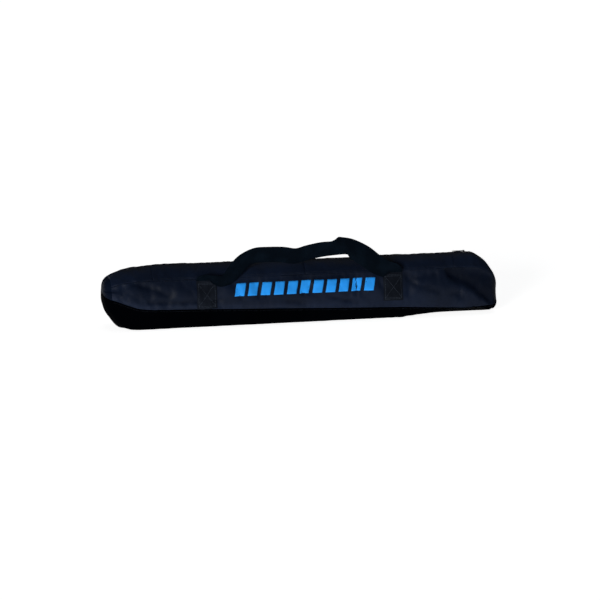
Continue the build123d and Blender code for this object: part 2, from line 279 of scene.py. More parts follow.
def weave_group():
    """Plain weave: threads that pass over and under each other, with a slight change from thread to thread."""
    tree, new = group_tree(
        "plain_weave",
        [("Vector", "NodeSocketVector", None), ("Threads", "NodeSocketFloat", 1200.0)],
        [("Height", "NodeSocketFloat"), ("Shade", "NodeSocketFloat")],
    )
    if not new:
        return tree
    start, stop = ends_of(tree)
    scaled = node(tree, "VectorMath", operation="SCALE")
    wire(tree, start.outputs["Vector"], scaled.inputs[0])
    wire(tree, start.outputs["Threads"], scaled.inputs["Scale"])
    apart = node(tree, "SeparateXYZ")
    wire(tree, scaled.outputs[0], apart.inputs[0])
    across = arithmetic(tree, "SINE", arithmetic(tree, "MULTIPLY", apart.outputs[0], math.pi))
    along = arithmetic(tree, "SINE", arithmetic(tree, "MULTIPLY", apart.outputs[1], math.pi))
    over = arithmetic(tree, "MULTIPLY", across, along)
    wire(tree, arithmetic(tree, "MULTIPLY_ADD", over, 0.5, 0.5), stop.inputs["Height"])
    thread = node(tree, "TexNoise", {"Scale": 1.0}, noise_dimensions="2D")
    stretched = node(tree, "Mapping", {"Scale": (0.02, 0.6, 1)})
    wire(tree, scaled.outputs[0], stretched.inputs[0])
    wire(tree, stretched.outputs[0], thread.inputs["Vector"])
    wire(tree, thread.outputs[0], stop.inputs["Shade"])
    return tree


def rib_group():
    """Webbing: ribs that run along the strap, crossed by a fine slanting weave."""
    tree, new = group_tree(
        "webbing_ribs",
        [
            ("Vector", "NodeSocketVector", None),
            ("Rib width", "NodeSocketFloat", 2.4 * MM),
            ("Pick", "NodeSocketFloat", 1.4 * MM),
        ],
        [("Height", "NodeSocketFloat"), ("Groove", "NodeSocketFloat")],
    )
    if not new:
        return tree
    start, stop = ends_of(tree)
    apart = node(tree, "SeparateXYZ")
    wire(tree, start.outputs["Vector"], apart.inputs[0])
    rib = arithmetic(tree, "DIVIDE", apart.outputs[1], start.outputs["Rib width"])
    swell = arithmetic(tree, "ABSOLUTE", arithmetic(tree, "SINE", arithmetic(tree, "MULTIPLY", rib, math.pi)))
    slant = arithmetic(tree, "PINGPONG", rib, 1.0)
    pick = arithmetic(tree, "DIVIDE", apart.outputs[0], start.outputs["Pick"])
    turned = arithmetic(tree, "ADD", pick, slant)
    weft = arithmetic(tree, "SINE", arithmetic(tree, "MULTIPLY", turned, 2 * math.pi))
    wire(tree, arithmetic(tree, "MULTIPLY_ADD", weft, 0.22, swell), stop.inputs["Height"])
    wire(tree, arithmetic(tree, "SUBTRACT", 1.0, swell), stop.inputs["Groove"])
    return tree


def use_group():
    """Handling marks: soft cloudy patches and fine flecks of dust, from 0 clean to 1 marked."""
    tree, new = group_tree(
        "handling",
        [("Vector", "NodeSocketVector", None), ("Patch size", "NodeSocketFloat", 90 * MM)],
        [("Patches", "NodeSocketFloat"), ("Flecks", "NodeSocketFloat")],
    )
    if not new:
        return tree
    start, stop = ends_of(tree)
    cloud = node(tree, "TexNoise", {"Detail": 4})
    wire(tree, arithmetic(tree, "DIVIDE", 1.0, start.outputs["Patch size"]), cloud.inputs["Scale"])
    wire(tree, start.outputs["Vector"], cloud.inputs["Vector"])
    soft = node(tree, "MapRange", {"From Min": 0.35, "From Max": 0.7}, interpolation_type="SMOOTHSTEP")
    wire(tree, cloud.outputs[0], soft.inputs["Value"])
    wire(tree, soft.outputs[0], stop.inputs["Patches"])
    dust = node(tree, "TexNoise", {"Scale": 420, "Detail": 2})
    wire(tree, start.outputs["Vector"], dust.inputs["Vector"])
    sharp = node(tree, "MapRange", {"From Min": 0.66, "From Max": 0.74})
    wire(tree, dust.outputs[0], sharp.inputs["Value"])
    wire(tree, sharp.outputs[0], stop.inputs["Flecks"])
    return tree


def placed(tree, group, **sockets):
    """A group used in a material, with its inputs set to sockets or values."""
    made = node(tree, "Group", node_tree=group)
    for name, value in sockets.items():
        socket = made.inputs[name.replace("_", " ")]
        if isinstance(value, bpy.types.NodeSocket):
            wire(tree, value, socket)
        else:
            socket.default_value = value
    return made


def blank(name, roughness, specular, metallic=0.0, coat=0.0, ior=1.5):
    """A material with one Principled shader whose constant sockets are set."""
    material = bpy.data.materials.new(name + "_finish")
    material.use_nodes = True
    tree = material.node_tree
    shader = next(n for n in tree.nodes if n.bl_idname == "ShaderNodeBsdfPrincipled")
    values = {"Roughness": roughness, "Specular IOR Level": specular, "IOR": ior}
    set_sockets(shader, {**values, "Metallic": metallic, "Coat Weight": coat})
    return material, tree, shader


def tinted(tree, shader, colour, light, amount, factor):
    """Base colour that goes from colour towards light where factor is high."""
    mix = node(tree, "Mix", {"A": (*colour, 1), "B": (*light, 1)}, data_type="RGBA")
    scaled = arithmetic(tree, "MULTIPLY", factor, amount)
    wire(tree, scaled, mix.inputs["Factor"])
    wire(tree, mix.outputs["Result"], shader.inputs["Base Color"])


def roughened(tree, shader, factor, low, high):
    spread = node(tree, "MapRange", {"To Min": low, "To Max": high})
    wire(tree, factor, spread.inputs["Value"])
    wire(tree, spread.outputs[0], shader.inputs["Roughness"])


def embossed(tree, shader, *layers):
    """Bump nodes in a chain, each with its height, strength and distance."""
    last = None
    for height, strength, distance in layers:
        bump = node(tree, "Bump", {"Strength": strength, "Distance": distance})
        wire(tree, height, bump.inputs["Height"])
        if last:
            wire(tree, last, bump.inputs["Normal"])
        last = bump.outputs[0]
    wire(tree, last, shader.inputs["Normal"])


def grain(tree, vector, size, detail=3):
    """Noise whose features are about size metres across."""
    made = node(tree, "TexNoise", {"Scale": 1 / size, "Detail": detail})
    wire(tree, vector, made.inputs["Vector"])
    return made.outputs[0]


def folded(tree, shader, specular):
    """Painted shade and painted highlight: darkens the colour and the gloss in folds, where the stored value is high,
    and lightens them along a seam's rim, where it is under 0.
    """
    fold = node(tree, "Attribute", attribute_name="Fold").outputs["Fac"]
    share = arithmetic(tree, "MULTIPLY_ADD", fold, -0.72, 1.0)
    colour = shader.inputs["Base Color"].links[0].from_socket
    scaled = node(tree, "VectorMath", operation="SCALE")
    wire(tree, colour, scaled.inputs[0])
    wire(tree, share, scaled.inputs["Scale"])
    wire(tree, scaled.outputs[0], shader.inputs["Base Color"])
    wire(tree, arithmetic(tree, "MULTIPLY", share, specular), shader.inputs["Specular IOR Level"])


def lighter(colour, times):
    return tuple(min(1, c * times) for c in colour)


def fabric(name, colour, specular=0.3, ior=1.22):
    """Woven polyester: fine plain weave, slubs and soft patches."""
    material, tree, shader = blank(name, 0.62, specular, ior=ior)
    flat = node(tree, "UVMap", uv_map="Cloth").outputs[0]
    place = node(tree, "TexCoord").outputs["Object"]
    weave = placed(tree, weave_group(), Vector=flat, Threads=THREADS)
    marks = placed(tree, use_group(), Vector=place)
    shade = arithmetic(tree, "MULTIPLY_ADD", weave.outputs["Shade"], 0.5, marks.outputs["Patches"])
    tinted(tree, shader, colour, lighter(colour, 2.0), 0.6, shade)
    # painted shade in folds and a painted highlight along the lower seam, from the mesh's stored values
    folded(tree, shader, specular)
    roughened(tree, shader, weave.outputs["Height"], 0.40, 0.52)
    rumple = grain(tree, place, 7 * MM)
    embossed(tree, shader, (rumple, 0.35, 0.6 * MM), (weave.outputs["Height"], 0.5, 0.15 * MM))
    return material


def webbing(name, colour, rib=2.4 * MM, pick=1.4 * MM):
    """Ribbed nylon webbing, duller in its grooves, with painted shade in them: the colour is darker in the grooves
    and lighter on the ribs.
    """
    material, tree, shader = blank(name, 0.6, 0.07, ior=1.12)
    flat = node(tree, "UVMap", uv_map="Cloth").outputs[0]
    place = node(tree, "TexCoord").outputs["Object"]
    ribs = placed(tree, rib_group(), Vector=flat, Rib_width=rib, Pick=pick)
    marks = placed(tree, use_group(), Vector=place, Patch_size=40 * MM)
    height = ribs.outputs["Height"]
    # painted shade: the rib height darkens the grooves, and the handling marks add patches
    shade = arithmetic(tree, "MULTIPLY_ADD", height, 0.5, marks.outputs["Patches"])
    tinted(tree, shader, colour, lighter(colour, 2.6), 0.55, shade)
    roughened(tree, shader, ribs.outputs["Groove"], 0.5, 0.8)
    embossed(tree, shader, (grain(tree, place, 12 * MM), 0.3, 0.5 * MM), (height, 0.8, 0.35 * MM))
    return material


def thread_finish(name, colour):
    """Twisted polyester thread."""
    material, tree, shader = blank(name, 0.55, 0.5, ior=1.2)
    place = node(tree, "TexCoord").outputs["Object"]
    twist = node(tree, "TexWave", {"Scale": 700}, bands_direction="DIAGONAL")
    wire(tree, place, twist.inputs["Vector"])
    tinted(tree, shader, colour, lighter(colour, 1.8), 0.6, grain(tree, place, 9 * MM))
    embossed(tree, shader, (twist.outputs["Fac"], 0.6, 0.1 * MM))
    return material


def plastic_coil(colour):
    """Nylon coil: smooth, with fine scuffs."""
    material, tree, shader = blank("zip_coil", 0.35, 0.4)
    place = node(tree, "TexCoord").outputs["Object"]
    scuff = grain(tree, place, 1.5 * MM, 6)
    tinted(tree, shader, colour, lighter(colour, 3), 0.35, scuff)
    roughened(tree, shader, scuff, 0.26, 0.5)
    embossed(tree, shader, (scuff, 0.2, 0.05 * MM))
    return material


def painted_metal(colour):
    """Black painted die-cast metal, rubbed through to bare metal in places."""
    material, tree, shader = blank("slider_metal", 0.35, 0.5, metallic=0.6, coat=0.3)
    place = node(tree, "TexCoord").outputs["Object"]
    marks = placed(tree, use_group(), Vector=place, Patch_size=5 * MM)
    rub = arithmetic(tree, "MULTIPLY", marks.outputs["Patches"], grain(tree, place, 0.8 * MM, 5))
    tinted(tree, shader, colour, (0.32, 0.32, 0.34), 0.5, rub)
    roughened(tree, shader, rub, 0.28, 0.5)
    embossed(tree, shader, (grain(tree, place, 0.5 * MM), 0.15, 0.05 * MM))
    return material


def print_finish(colour):
    """Rubbery screen print that lets the weave show through and is rubbed thin in places."""
    material, tree, shader = blank("print", 0.42, 0.12, ior=1.3)
    flat = node(tree, "UVMap", uv_map="Cloth").outputs[0]
    place = node(tree, "TexCoord").outputs["Object"]
    weave = placed(tree, weave_group(), Vector=flat, Threads=THREADS)
    marks = placed(tree, use_group(), Vector=place, Patch_size=30 * MM)
    tinted(tree, shader, colour, lighter(colour, 0.72), 0.5, marks.outputs["Patches"])
    roughened(tree, shader, marks.outputs["Patches"], 0.36, 0.55)
    embossed(tree, shader, (weave.outputs["Height"], 0.35, 0.1 * MM))
    return material


def floor_finish(colour, glow):
    """A matt floor that glows a little, so that it stays white round the bag."""
    material, tree, shader = blank("floor", 0.9, 0.0)
    set_sockets(shader, {"Emission Color": WHITE, "Emission Strength": glow})
    place = node(tree, "TexCoord").outputs["Object"]
    tinted(tree, shader, colour, lighter(colour, 0.985), 1.0, grain(tree, place, 0.4))
    return material


def finish_for(name):
    """The finish of that name, made when it is first wanted."""
    found = bpy.data.materials.get(name + "_finish")
    if found:
        return found
    scene = bpy.context.scene
    panels, zipper = scene.ski_bag_panels, scene.ski_bag_zip
    handles, details, stage = scene.ski_bag_handles, scene.ski_bag_details, scene.ski_bag_stage
    makers = {
        "bag_fabric": lambda: fabric("bag_fabric", panels.colour),
        # painted shade: the bottom panel and band take the near-black colour so that they stay dark under the floor's
        # light
        "base_fabric": lambda: fabric("base_fabric", panels.base_shade_colour, specular=0.03, ior=1.04),
        # painted shade: the end panels take the panel fabric at 0.6 of its colour, darker as they face away from the
        # light
        "end_fabric": lambda: fabric("end_fabric", lighter(panels.colour, 0.6), specular=0.12, ior=1.12),
        "webbing": lambda: webbing("webbing", handles.colour),
        # painted light: a lighter copy of the webbing for the flat sewn ends
        "sewn_webbing": lambda: webbing("sewn_webbing", handles.lit_sewn_colour),
        "binding": lambda: webbing("binding", panels.binding, rib=1.2 * MM, pick=2.4 * MM),
        "zip_tape": lambda: webbing("zip_tape", zipper.tape, rib=0.9 * MM, pick=0.9 * MM),
        "zip_coil": lambda: plastic_coil(zipper.coil),
        "slider_metal": lambda: painted_metal(zipper.metal),
        "thread": lambda: thread_finish("thread", details.thread),
        "box_thread": lambda: thread_finish("box_thread", lighter(details.thread, 4)),
        "print": lambda: print_finish(details.ink),
        "floor": lambda: floor_finish(stage.floor, stage.glow),
    }
    return makers[name]()


# ---------------------------------------------------------------- meshes


# Finishes that share a slot of the record
SLOTS = {"base_fabric": "bag_fabric", "end_fabric": "bag_fabric", "sewn_webbing": "webbing", "box_thread": "thread"}


def piece(name, bm, material, flip=False):
    """An object at the origin from a bmesh, with its finish and its record slot."""
    if flip:
        bmesh.ops.reverse_faces(bm, faces=bm.faces)
    for face in bm.faces:
        face.smooth = True
    mesh = bpy.data.meshes.new(name)
    bm.to_mesh(mesh)
    bm.free()
    mesh.materials.append(finish_for(material))
    made = bpy.data.objects.new(name, mesh)
    bpy.context.scene.collection.objects.link(made)
    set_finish(made, SLOTS.get(material, material))
    return made


def mapped_grid(points, flat=None):
    """A grid whose points stand at points[i][j], with a Cloth map in metres."""
    points = np.asarray(points, float)
    across, around = points.shape[0] - 1, points.shape[1] - 1
    bm = bmesh.new()
    bmesh.ops.create_grid(bm, x_segments=across, y_segments=around, size=0.5)
    uv = bm.loops.layers.uv.new("Cloth")
    if flat is None:
        flat = flat_lengths(points)
    bm.verts.sort(
        key=lambda vert: round((vert.co.x + 0.5) * across) * (around + 1) + round((vert.co.y + 0.5) * around)
    )
    bm.verts.index_update()
    for face in bm.faces:
        for loop in face.loops:
            i, j = divmod(loop.vert.index, around + 1)
            loop[uv].uv = flat[i][j]
    for vert in bm.verts:
        i, j = divmod(vert.index, around + 1)
        vert.co = points[i][j]
    return bm


def flat_lengths(points):
    """Distances along both ways of a grid, as a flat pattern in metres."""
    along = np.linalg.norm(np.diff(points, axis=0), axis=2).mean(axis=1)
    around = np.linalg.norm(np.diff(points, axis=1), axis=2).mean(axis=0)
    u = np.concatenate(([0], np.cumsum(along)))
    v = np.concatenate(([0], np.cumsum(around)))
    return np.stack(np.meshgrid(u, v, indexing="ij"), axis=2)


def thicken(made, thickness, offset=-1.0):
    wall = made.modifiers.new("Thickness", "SOLIDIFY")
    wall.thickness = thickness
    wall.offset = offset
    return made


def subdivided(made):
    fine = made.modifiers.new("Smooth", "SUBSURF")
    fine.levels = fine.render_levels = 1
    return made


def rod(bm, radius, depth, middle, turn, segments, tip=None):
    """A cylinder or cone about middle, turned from Z about an axis; returns its points."""
    verts = bmesh.ops.create_cone(
        bm, cap_ends=True, segments=segments, radius1=radius, radius2=radius if tip is None else tip, depth=depth
    )["verts"]
    if turn:
        bmesh.ops.rotate(bm, verts=verts, cent=(0, 0, 0), matrix=Matrix.Rotation(math.pi / 2, 3, turn))
    bmesh.ops.translate(bm, verts=verts, vec=middle)
    return verts


def bevelled(made, width, segments=2):
    edge = made.modifiers.new("Edge", "BEVEL")
    edge.width = width
    edge.segments = segments
    edge.limit_method = "ANGLE"
    return made


def applied(made):
    """The object with its modifiers turned into its mesh."""
    bpy.context.view_layer.update()
    graph = bpy.context.evaluated_depsgraph_get()
    mesh = bpy.data.meshes.new_from_object(made.evaluated_get(graph))
    made.modifiers.clear()
    made.data = mesh
    return made


def moved(made, place):
    """Every point of a mesh sent through place, which takes and returns an array of points."""
    mesh = made.data
    co = np.empty(len(mesh.vertices) * 3)
    mesh.vertices.foreach_get("co", co)
    mesh.vertices.foreach_set("co", np.asarray(place(co.reshape(-1, 3)), float).ravel())
    mesh.update()
    return made


def curve_through(keys, count):
    """A smooth run through the rows of keys: count rows at even steps of the key number."""
    keys = np.asarray(keys, float)
    first, last = 2 * keys[0] - keys[1], 2 * keys[-1] - keys[-2]
    padded = np.vstack((first, keys, last))
    rows = []
    for t in np.linspace(0, len(keys) - 1, count):
        k = min(int(t), len(keys) - 2)
        f = t - k
        a, b, c, d = padded[k : k + 4]
        rows.append(
            0.5 * (2 * b + (c - a) * f + (2 * a - 5 * b + 4 * c - d) * f * f + (3 * b - a - 3 * c + d) * f**3)
        )
    return np.array(rows)


def run_lengths(points):
    """The distance from the first point to each point of a run."""
    return np.concatenate(([0], np.cumsum(np.linalg.norm(np.diff(points, axis=0), axis=1))))


def even_runs(keys, count):
    """The same run with its rows at even distances along the first three numbers."""
    fine = curve_through(keys, count * 6)
    lengths = run_lengths(fine[:, :3])
    wanted = np.linspace(0, lengths[-1], count)
    return np.stack([np.interp(wanted, lengths, fine[:, k]) for k in range(fine.shape[1])], axis=1)


# ---------------------------------------------------------------- shell

# Heights along the bag, from the left end seam to the right one, as (x, height)
RIDGE = ((-0.484, 0.123), (-0.478, 0.1285), (-0.468, 0.1335), (-0.45, 0.1405), (-0.42, 0.1455), (-0.365, 0.1500),
         (0.0, 0.1495), (0.06, 0.147), (0.13, 0.146), (0.20, 0.149), (0.440, 0.149), (0.452, 0.142),
         (0.468, 0.130), (0.477, 0.119), (0.484, 0.098))
FRONT_SEAM = ((-0.484, 0.078), (-0.468, 0.072), (-0.455, 0.067), (-0.44, 0.061), (-0.42, 0.054), (-0.39, 0.050),
              (-0.25, 0.046), (-0.12, 0.041), (0.0, 0.037), (0.125, 0.032), (0.25, 0.028), (0.35, 0.022),
              (0.41, 0.019), (0.468, 0.022), (0.484, 0.024))
BACK_SEAM = ((-0.484, 0.066), (-0.468, 0.059), (-0.44, 0.045), (-0.40, 0.038), (0.40, 0.036), (0.44, 0.042),
             (0.468, 0.050), (0.484, 0.054))
TOP_SEAM = ((-0.484, 0.107), (-0.468, 0.113), (-0.45, 0.117), (-0.42, 0.120), (0.43, 0.120), (0.452, 0.116),
            (0.468, 0.108), (0.484, 0.093))
FOOT = ((-0.484, 0.042), (-0.478, 0.029), (-0.468, 0.018), (-0.455, 0.008), (-0.44, 0.0015), (-0.42, 0.0),
        (0.24, 0.0), (0.33, 0.007), (0.37, 0.012), (0.42, 0.011), (0.468, 0.008), (0.484, 0.010))
FOOT_SPREAD = ((-0.484, 0.038), (-0.468, 0.045), (-0.43, 0.051), (0.0, 0.050), (0.24, 0.046), (0.36, 0.036),
               (0.468, 0.038), (0.484, 0.036))  # half the width that stands


def along_bag(keys, x):
    """A smooth height at x, from (x, height) keys."""
    xs = np.array([k[0] for k in keys])
    values = np.array([k[1] for k in keys])
    fine = np.linspace(-END_SEAM, END_SEAM, 769)
    smooth = np.interp(fine, xs, values)
    kernel = np.hanning(15)
    kernel /= kernel.sum()
    smooth = np.convolve(np.pad(smooth, 7, mode="edge"), kernel, mode="valid")
    return np.interp(x, fine, smooth)


def bezier(points, shares):
    a, b, c, d = (np.array(p, float) for p in points)
    t = np.array(shares)[:, None]
    return a * (1 - t) ** 3 + 3 * b * t * (1 - t) ** 2 + 3 * c * t * t * (1 - t) + d * t**3


def section(x, bulge):
    """The outside of the bag in Y and Z at one station, from the front flap's edge round to the back one's."""
    ridge, low_f, low_b, high, foot, spread = (
        float(along_bag(k, x)) for k in (RIDGE, FRONT_SEAM, BACK_SEAM, TOP_SEAM, FOOT, FOOT_SPREAD)
    )
    near_end = max(0.0, (abs(x) - NEAR_END) / (END_SEAM - NEAR_END))
    pinch = 1 - 0.08 * near_end**3
    closing = np.clip((abs(x) - ZIP_END + 0.004) / 0.012, 0, 1)
    edge = 0.0055 * (1 - closing)
    halves = []
    for seam in (low_f, low_b):
        swell = bulge * (1 - 0.6 * near_end)
        flap = bezier(
            ((-edge, ridge), (-0.021, ridge + 0.0012), (-0.036, high + 0.019), (-TOP_Y, high)), FLAP_SHARES
        )
        shares = np.array(FLAP_SHARES)
        flap[:, 0] = np.where(shares < 0.1, -edge - (0.016 - edge) * 3 * shares, flap[:, 0])
        side = bezier(
            ((-TOP_Y, high), (-0.0505 - swell, high - 0.022), (-0.060 - swell, seam + 0.03), (-LOW_Y, seam)),
            PANEL_SHARES,
        )
        middle = foot + (seam - foot) * 0.5
        band = bezier(((-LOW_Y, seam), (-0.0605, middle), (-0.0575, foot + 0.5 * MM), (-spread, foot)), BAND_SHARES)
        halves.append(np.vstack((flap, side[1:], band[1:])))
    front, back = halves
    sag = min(foot, 12 * MM)
    base = np.array([(spread * (2 * s - 1), foot - sag * (1 - (2 * s - 1) ** 2)) for s in BASE_SHARES])
    back = back[::-1] * np.array((-1, 1))
    whole = np.vstack((front, base[1:-1], back))
    whole[:, 0] *= pinch
    return whole


def crease(points, line, depth, width, above=None):
    """A soft fold along a line of (x, z) points: how far each point sinks."""
    line = np.array(line)
    best = np.full(len(points), 9.0)
    signed = np.zeros(len(points))
    flat = points[:, (0, 2)]
    for a, b in zip(line, line[1:]):
        run = b - a
        share = np.clip(((flat - a) @ run) / (run @ run), 0, 1)
        gap = flat - (a + share[:, None] * run)
        distance = np.linalg.norm(gap, axis=1)
        side = np.sign(run[0] * gap[:, 1] - run[1] * gap[:, 0])
        signed = np.where(distance < best, side * distance, signed)
        best = np.minimum(best, distance)
    if above is None:
        return depth * np.exp(-((best / width) ** 2))
    rise = 1 / (1 + np.exp(-signed / width))
    return depth * rise * np.exp(-np.maximum(signed, 0) / above)


FRONT_CREASES = (  # line of (x, z), depth, width, reach above the line
    (((0.352, 0.126), (0.366, 0.098), (0.390, 0.085), (0.420, 0.071), (0.448, 0.046)), 13 * MM, 2.6 * MM, 40 * MM),
    (((-0.395, 0.069), (-0.30, 0.066), (-0.215, 0.068)), 3.4 * MM, 4 * MM, None),
    (((0.055, 0.064), (0.085, 0.056), (0.13, 0.046)), 4.4 * MM, 3.5 * MM, None),
    (((-0.05, 0.058), (-0.01, 0.052)), 2.6 * MM, 5 * MM, None),
    (((-0.462, 0.078), (-0.458, 0.055)), 2.5 * MM, 4 * MM, None),
    (((-0.03, 0.118), (0.03, 0.110), (0.09, 0.112)), 2.2 * MM, 6 * MM, None),
    (((-0.43, 0.116), (-0.38, 0.1), (-0.34, 0.082)), 3.0 * MM, 6 * MM, None),
    (((0.255, 0.1), (0.29, 0.078), (0.34, 0.062)), 2.8 * MM, 5 * MM, None),
    (((0.25, 0.112), (0.275, 0.1), (0.33, 0.106)), 2.6 * MM, 5 * MM, None),
    (((0.36, 0.062), (0.40, 0.050)), 2.6 * MM, 4 * MM, None),
    (((-0.20, 0.118), (-0.175, 0.094), (-0.165, 0.07)), 2.4 * MM, 6 * MM, None),
    (((0.185, 0.094), (0.20, 0.06)), 2.4 * MM, 5 * MM, None),
    (((-0.29, 0.092), (-0.27, 0.06)), 2.0 * MM, 6 * MM, None),
)
BACK_CREASES = (
    (((-0.36, 0.12), (-0.39, 0.09), (-0.43, 0.07)), 4.5 * MM, 6 * MM, None),
    (((0.34, 0.118), (0.37, 0.09), (0.44, 0.066)), 4.0 * MM, 7 * MM, None),
    (((-0.15, 0.055), (0.02, 0.05), (0.16, 0.06)), 2.0 * MM, 6 * MM, None),
    (((-0.05, 0.1), (0.06, 0.085)), 1.8 * MM, 8 * MM, None),
)


def paint_fold_shade_and_rim_light(made, folds, rim=None):
    """Stores the painted shade of each point for the finish, by how deep it lies in a fold.

    rim is a seam's keys, along which a painted highlight lightens the cloth.
    """
    mesh = made.data
    co = np.empty(len(mesh.vertices) * 3)
    mesh.vertices.foreach_get("co", co)
    co = co.reshape(-1, 3)
    value = sum(crease(co, *fold) for fold in folds) / FULL_SHADE_FOLD_DEPTH
    value = 0.85 * np.tanh(value)
    if rim:
        over = co[:, 2] - along_bag(rim, co[:, 0])
        # painted highlight: the cloth just over the seam is drawn lighter, more towards the left
        value -= 0.55 * np.exp(-((over - 5 * MM) / (6 * MM)) ** 2) * np.clip((0.2 - co[:, 0]) / 0.2, 0.15, 1)
    mesh.attributes.new("Fold", "FLOAT", "POINT").data.foreach_set("value", value)


def seam_share(row):
    """0 on a seam and at the flaps' edges, and 1 well away from them."""
    marks = (EDGE_F, TOP_F, SEAM_F, BASE_F, BASE_B, SEAM_B, TOP_B, EDGE_B)
    for low, high in zip(marks, marks[1:]):
        if low <= row <= high:
            share = (row - low) / (high - low)
            return min(1.0, 4 * min(share, 1 - share))
    return 1.0


def shell_points(bulge):
    """The shell's grid before the cloth settles: stations along X by rows round the section."""
    return np.array([[(x, y, z) for y, z in section(x, bulge)] for x in XS])


def above_floor(grid):
    grid[:, :, 2] = np.maximum(grid[:, :, 2], 0.0)
    return grid


def normals_of(grid):
    """Outward unit normals at every point of the shell's grid."""
    along = np.gradient(grid, axis=0)
    around = np.gradient(grid, axis=1)
    normal = -np.cross(along, around)
    return normal / np.maximum(np.linalg.norm(normal, axis=2, keepdims=True), 1e-9)


def ruffled(grid):
    """The grid with its listed folds and a gentle unevenness."""
    normal = normals_of(grid)
    rows = grid.shape[1]
    sink = np.zeros(grid.shape[:2])
    flat = grid.reshape(-1, 3)
    front = np.zeros(rows)
    front[TOP_F : SEAM_F + 1] = [seam_share(r) for r in range(TOP_F, SEAM_F + 1)]
    back = front[::-1]
    for folds, mask in ((FRONT_CREASES, front), (BACK_CREASES, back)):
        for line, depth, width, above in folds:
            sink += crease(flat, line, depth, width, above).reshape(grid.shape[:2]) * mask
    lumps = np.array([
        [2.0 * noise.noise(p * 14) + 0.9 * noise.noise(p * 33 + Vector((7, 3, 1))) + 0.35 * noise.noise(p * 80)
         for p in map(Vector, column)]
        for column in grid
    ])
    share = np.array([seam_share(r) for r in range(rows)])
    calm = np.clip((END_SEAM - np.abs(grid[:, :, 0])) / 0.03, 0, 1)
    base = np.ones(rows)
    base[BASE_F : BASE_B + 1] = 0.1
    base[: TOP_F + 1] *= 0.5
    base[TOP_B:] *= 0.5
    lift = 1.7 * MM * lumps * share * base * calm - sink
    return above_floor(grid + normal * lift[:, :, None])


def stitched_down(grid):
    """Sinks the seams a little, with the cloth puffing up beside them."""
    normal = normals_of(grid)
    out = grid.copy()
    xs = grid[:, :, 0]
    for row in (TOP_F, SEAM_F, SEAM_B, TOP_B):
        out[:, row] -= normal[:, row] * SEAM_SINK
        pucker = 0.35 * MM * np.sin(xs[:, row] * 2 * math.pi / 0.023 + 2 * np.sin(xs[:, row] * 31))
        for step in (-2, 2):
            out[:, row + step] += normal[:, row + step] * (0.3 * MM + pucker)[:, None]
    return above_floor(out)


def settled(grid, settings):
    """The grid after a short cloth settling: seams are pinned, and the slack swells and puckers between them."""
    bm = mapped_grid(grid)
    bmesh.ops.reverse_faces(bm, faces=bm.faces)
    mesh = bpy.data.meshes.new("settling")
    bm.to_mesh(mesh)
    bm.free()
    cloth_object = bpy.data.objects.new("settling", mesh)
    bpy.context.scene.collection.objects.link(cloth_object)
    rows = grid.shape[1]
    pins = cloth_object.vertex_groups.new(name="pins")
    for vert in mesh.vertices:
        i, j = divmod(vert.index, rows)
        held = j in (EDGE_F, TOP_F, SEAM_F, SEAM_B, TOP_B, EDGE_B) or BASE_F <= j <= BASE_B or i in (0, STATIONS)
        if held:
            pins.add([vert.index], 1.0, "REPLACE")
    cloth = cloth_object.modifiers.new("Cloth", "CLOTH")
    for name, value in {
        "quality": 6,
        "mass": 0.25,
        "tension_stiffness": 40,
        "compression_stiffness": 20,
        "shear_stiffness": 10,
        "bending_stiffness": 0.08,
        "vertex_group_mass": "pins",
        "use_pressure": True,
        "uniform_pressure_force": settings.pressure,
        "shrink_min": -settings.slack,
    }.items():
        setattr(cloth.settings, name, value)
    cloth.settings.effector_weights.gravity = 0
    cloth.collision_settings.use_collision = False
    cloth.point_cache.frame_start = 1
    cloth.point_cache.frame_end = settings.frames
    scene = bpy.context.scene
    for step in range(1, settings.frames + 1):
        scene.frame_set(step)
    graph = bpy.context.evaluated_depsgraph_get()
    done = cloth_object.evaluated_get(graph).to_mesh()
    out = grid.reshape(-1, 3).copy()
    for vert in done.vertices:
        out[vert.index] = vert.co
    cloth_object.evaluated_get(graph).to_mesh_clear()
    bpy.data.objects.remove(cloth_object)
    scene.frame_set(1)
    move = out.reshape(grid.shape) - grid
    distance = np.linalg.norm(move, axis=2, keepdims=True)
    return above_floor(grid + move * np.minimum(1, CLOTH_REACH / np.maximum(distance, 1e-9)))


def between(table, i, j):
    """The value of a grid at a fractional place."""
    i0, j0 = int(i), int(j)
    fi, fj = i - i0, j - j0
    near = table[i0, j0] * (1 - fj) + table[i0, j0 + 1] * fj
    far = table[i0 + 1, j0] * (1 - fj) + table[i0 + 1, j0 + 1] * fj
    return near * (1 - fi) + far * fi


def unit(vector):
    return vector / np.linalg.norm(vector)


class Skin:
    """The finished outside of the bag, which the zip, stitching, print and bindings follow."""

    grid = None
    normal = None

    @classmethod
    def make(cls, settings):
        grid = shell_points(settings.bulge)
        grid = settled(grid, settings)
        cls.grid = stitched_down(ruffled(grid))
        cls.normal = normals_of(cls.grid)

    @classmethod
    def at(cls, x, row):
        """The point and the outward normal at x and a fractional row."""
        i = np.clip((x + END_SEAM) / (2 * END_SEAM) * STATIONS, 0, STATIONS - 1e-6)
        j = np.clip(row, 0, EDGE_B - 1e-6)
        return between(cls.grid, i, j), unit(between(cls.normal, i, j))

    @classmethod
    def column_at(cls, x):
        """The row of points round the section nearest to x."""
        return cls.grid[int(np.clip(round((x + END_SEAM) / (2 * END_SEAM) * STATIONS), 0, STATIONS))]

    @classmethod
    def row_at(cls, x, height, low, high):
        """The fractional row between low and high where the skin has this height."""
        heights = cls.column_at(x)[low : high + 1, 2]
        order = np.argsort(heights)
        return low + float(np.interp(height, heights[order], np.arange(len(heights))[order]))

    @classmethod
    def row_beside(cls, x, row, distance):
        """The fractional row that is distance metres along the section from a row."""
        lengths = run_lengths(cls.column_at(x))
        rows = np.arange(len(lengths))
        return float(np.interp(np.interp(row, rows, lengths) + distance, lengths, rows))


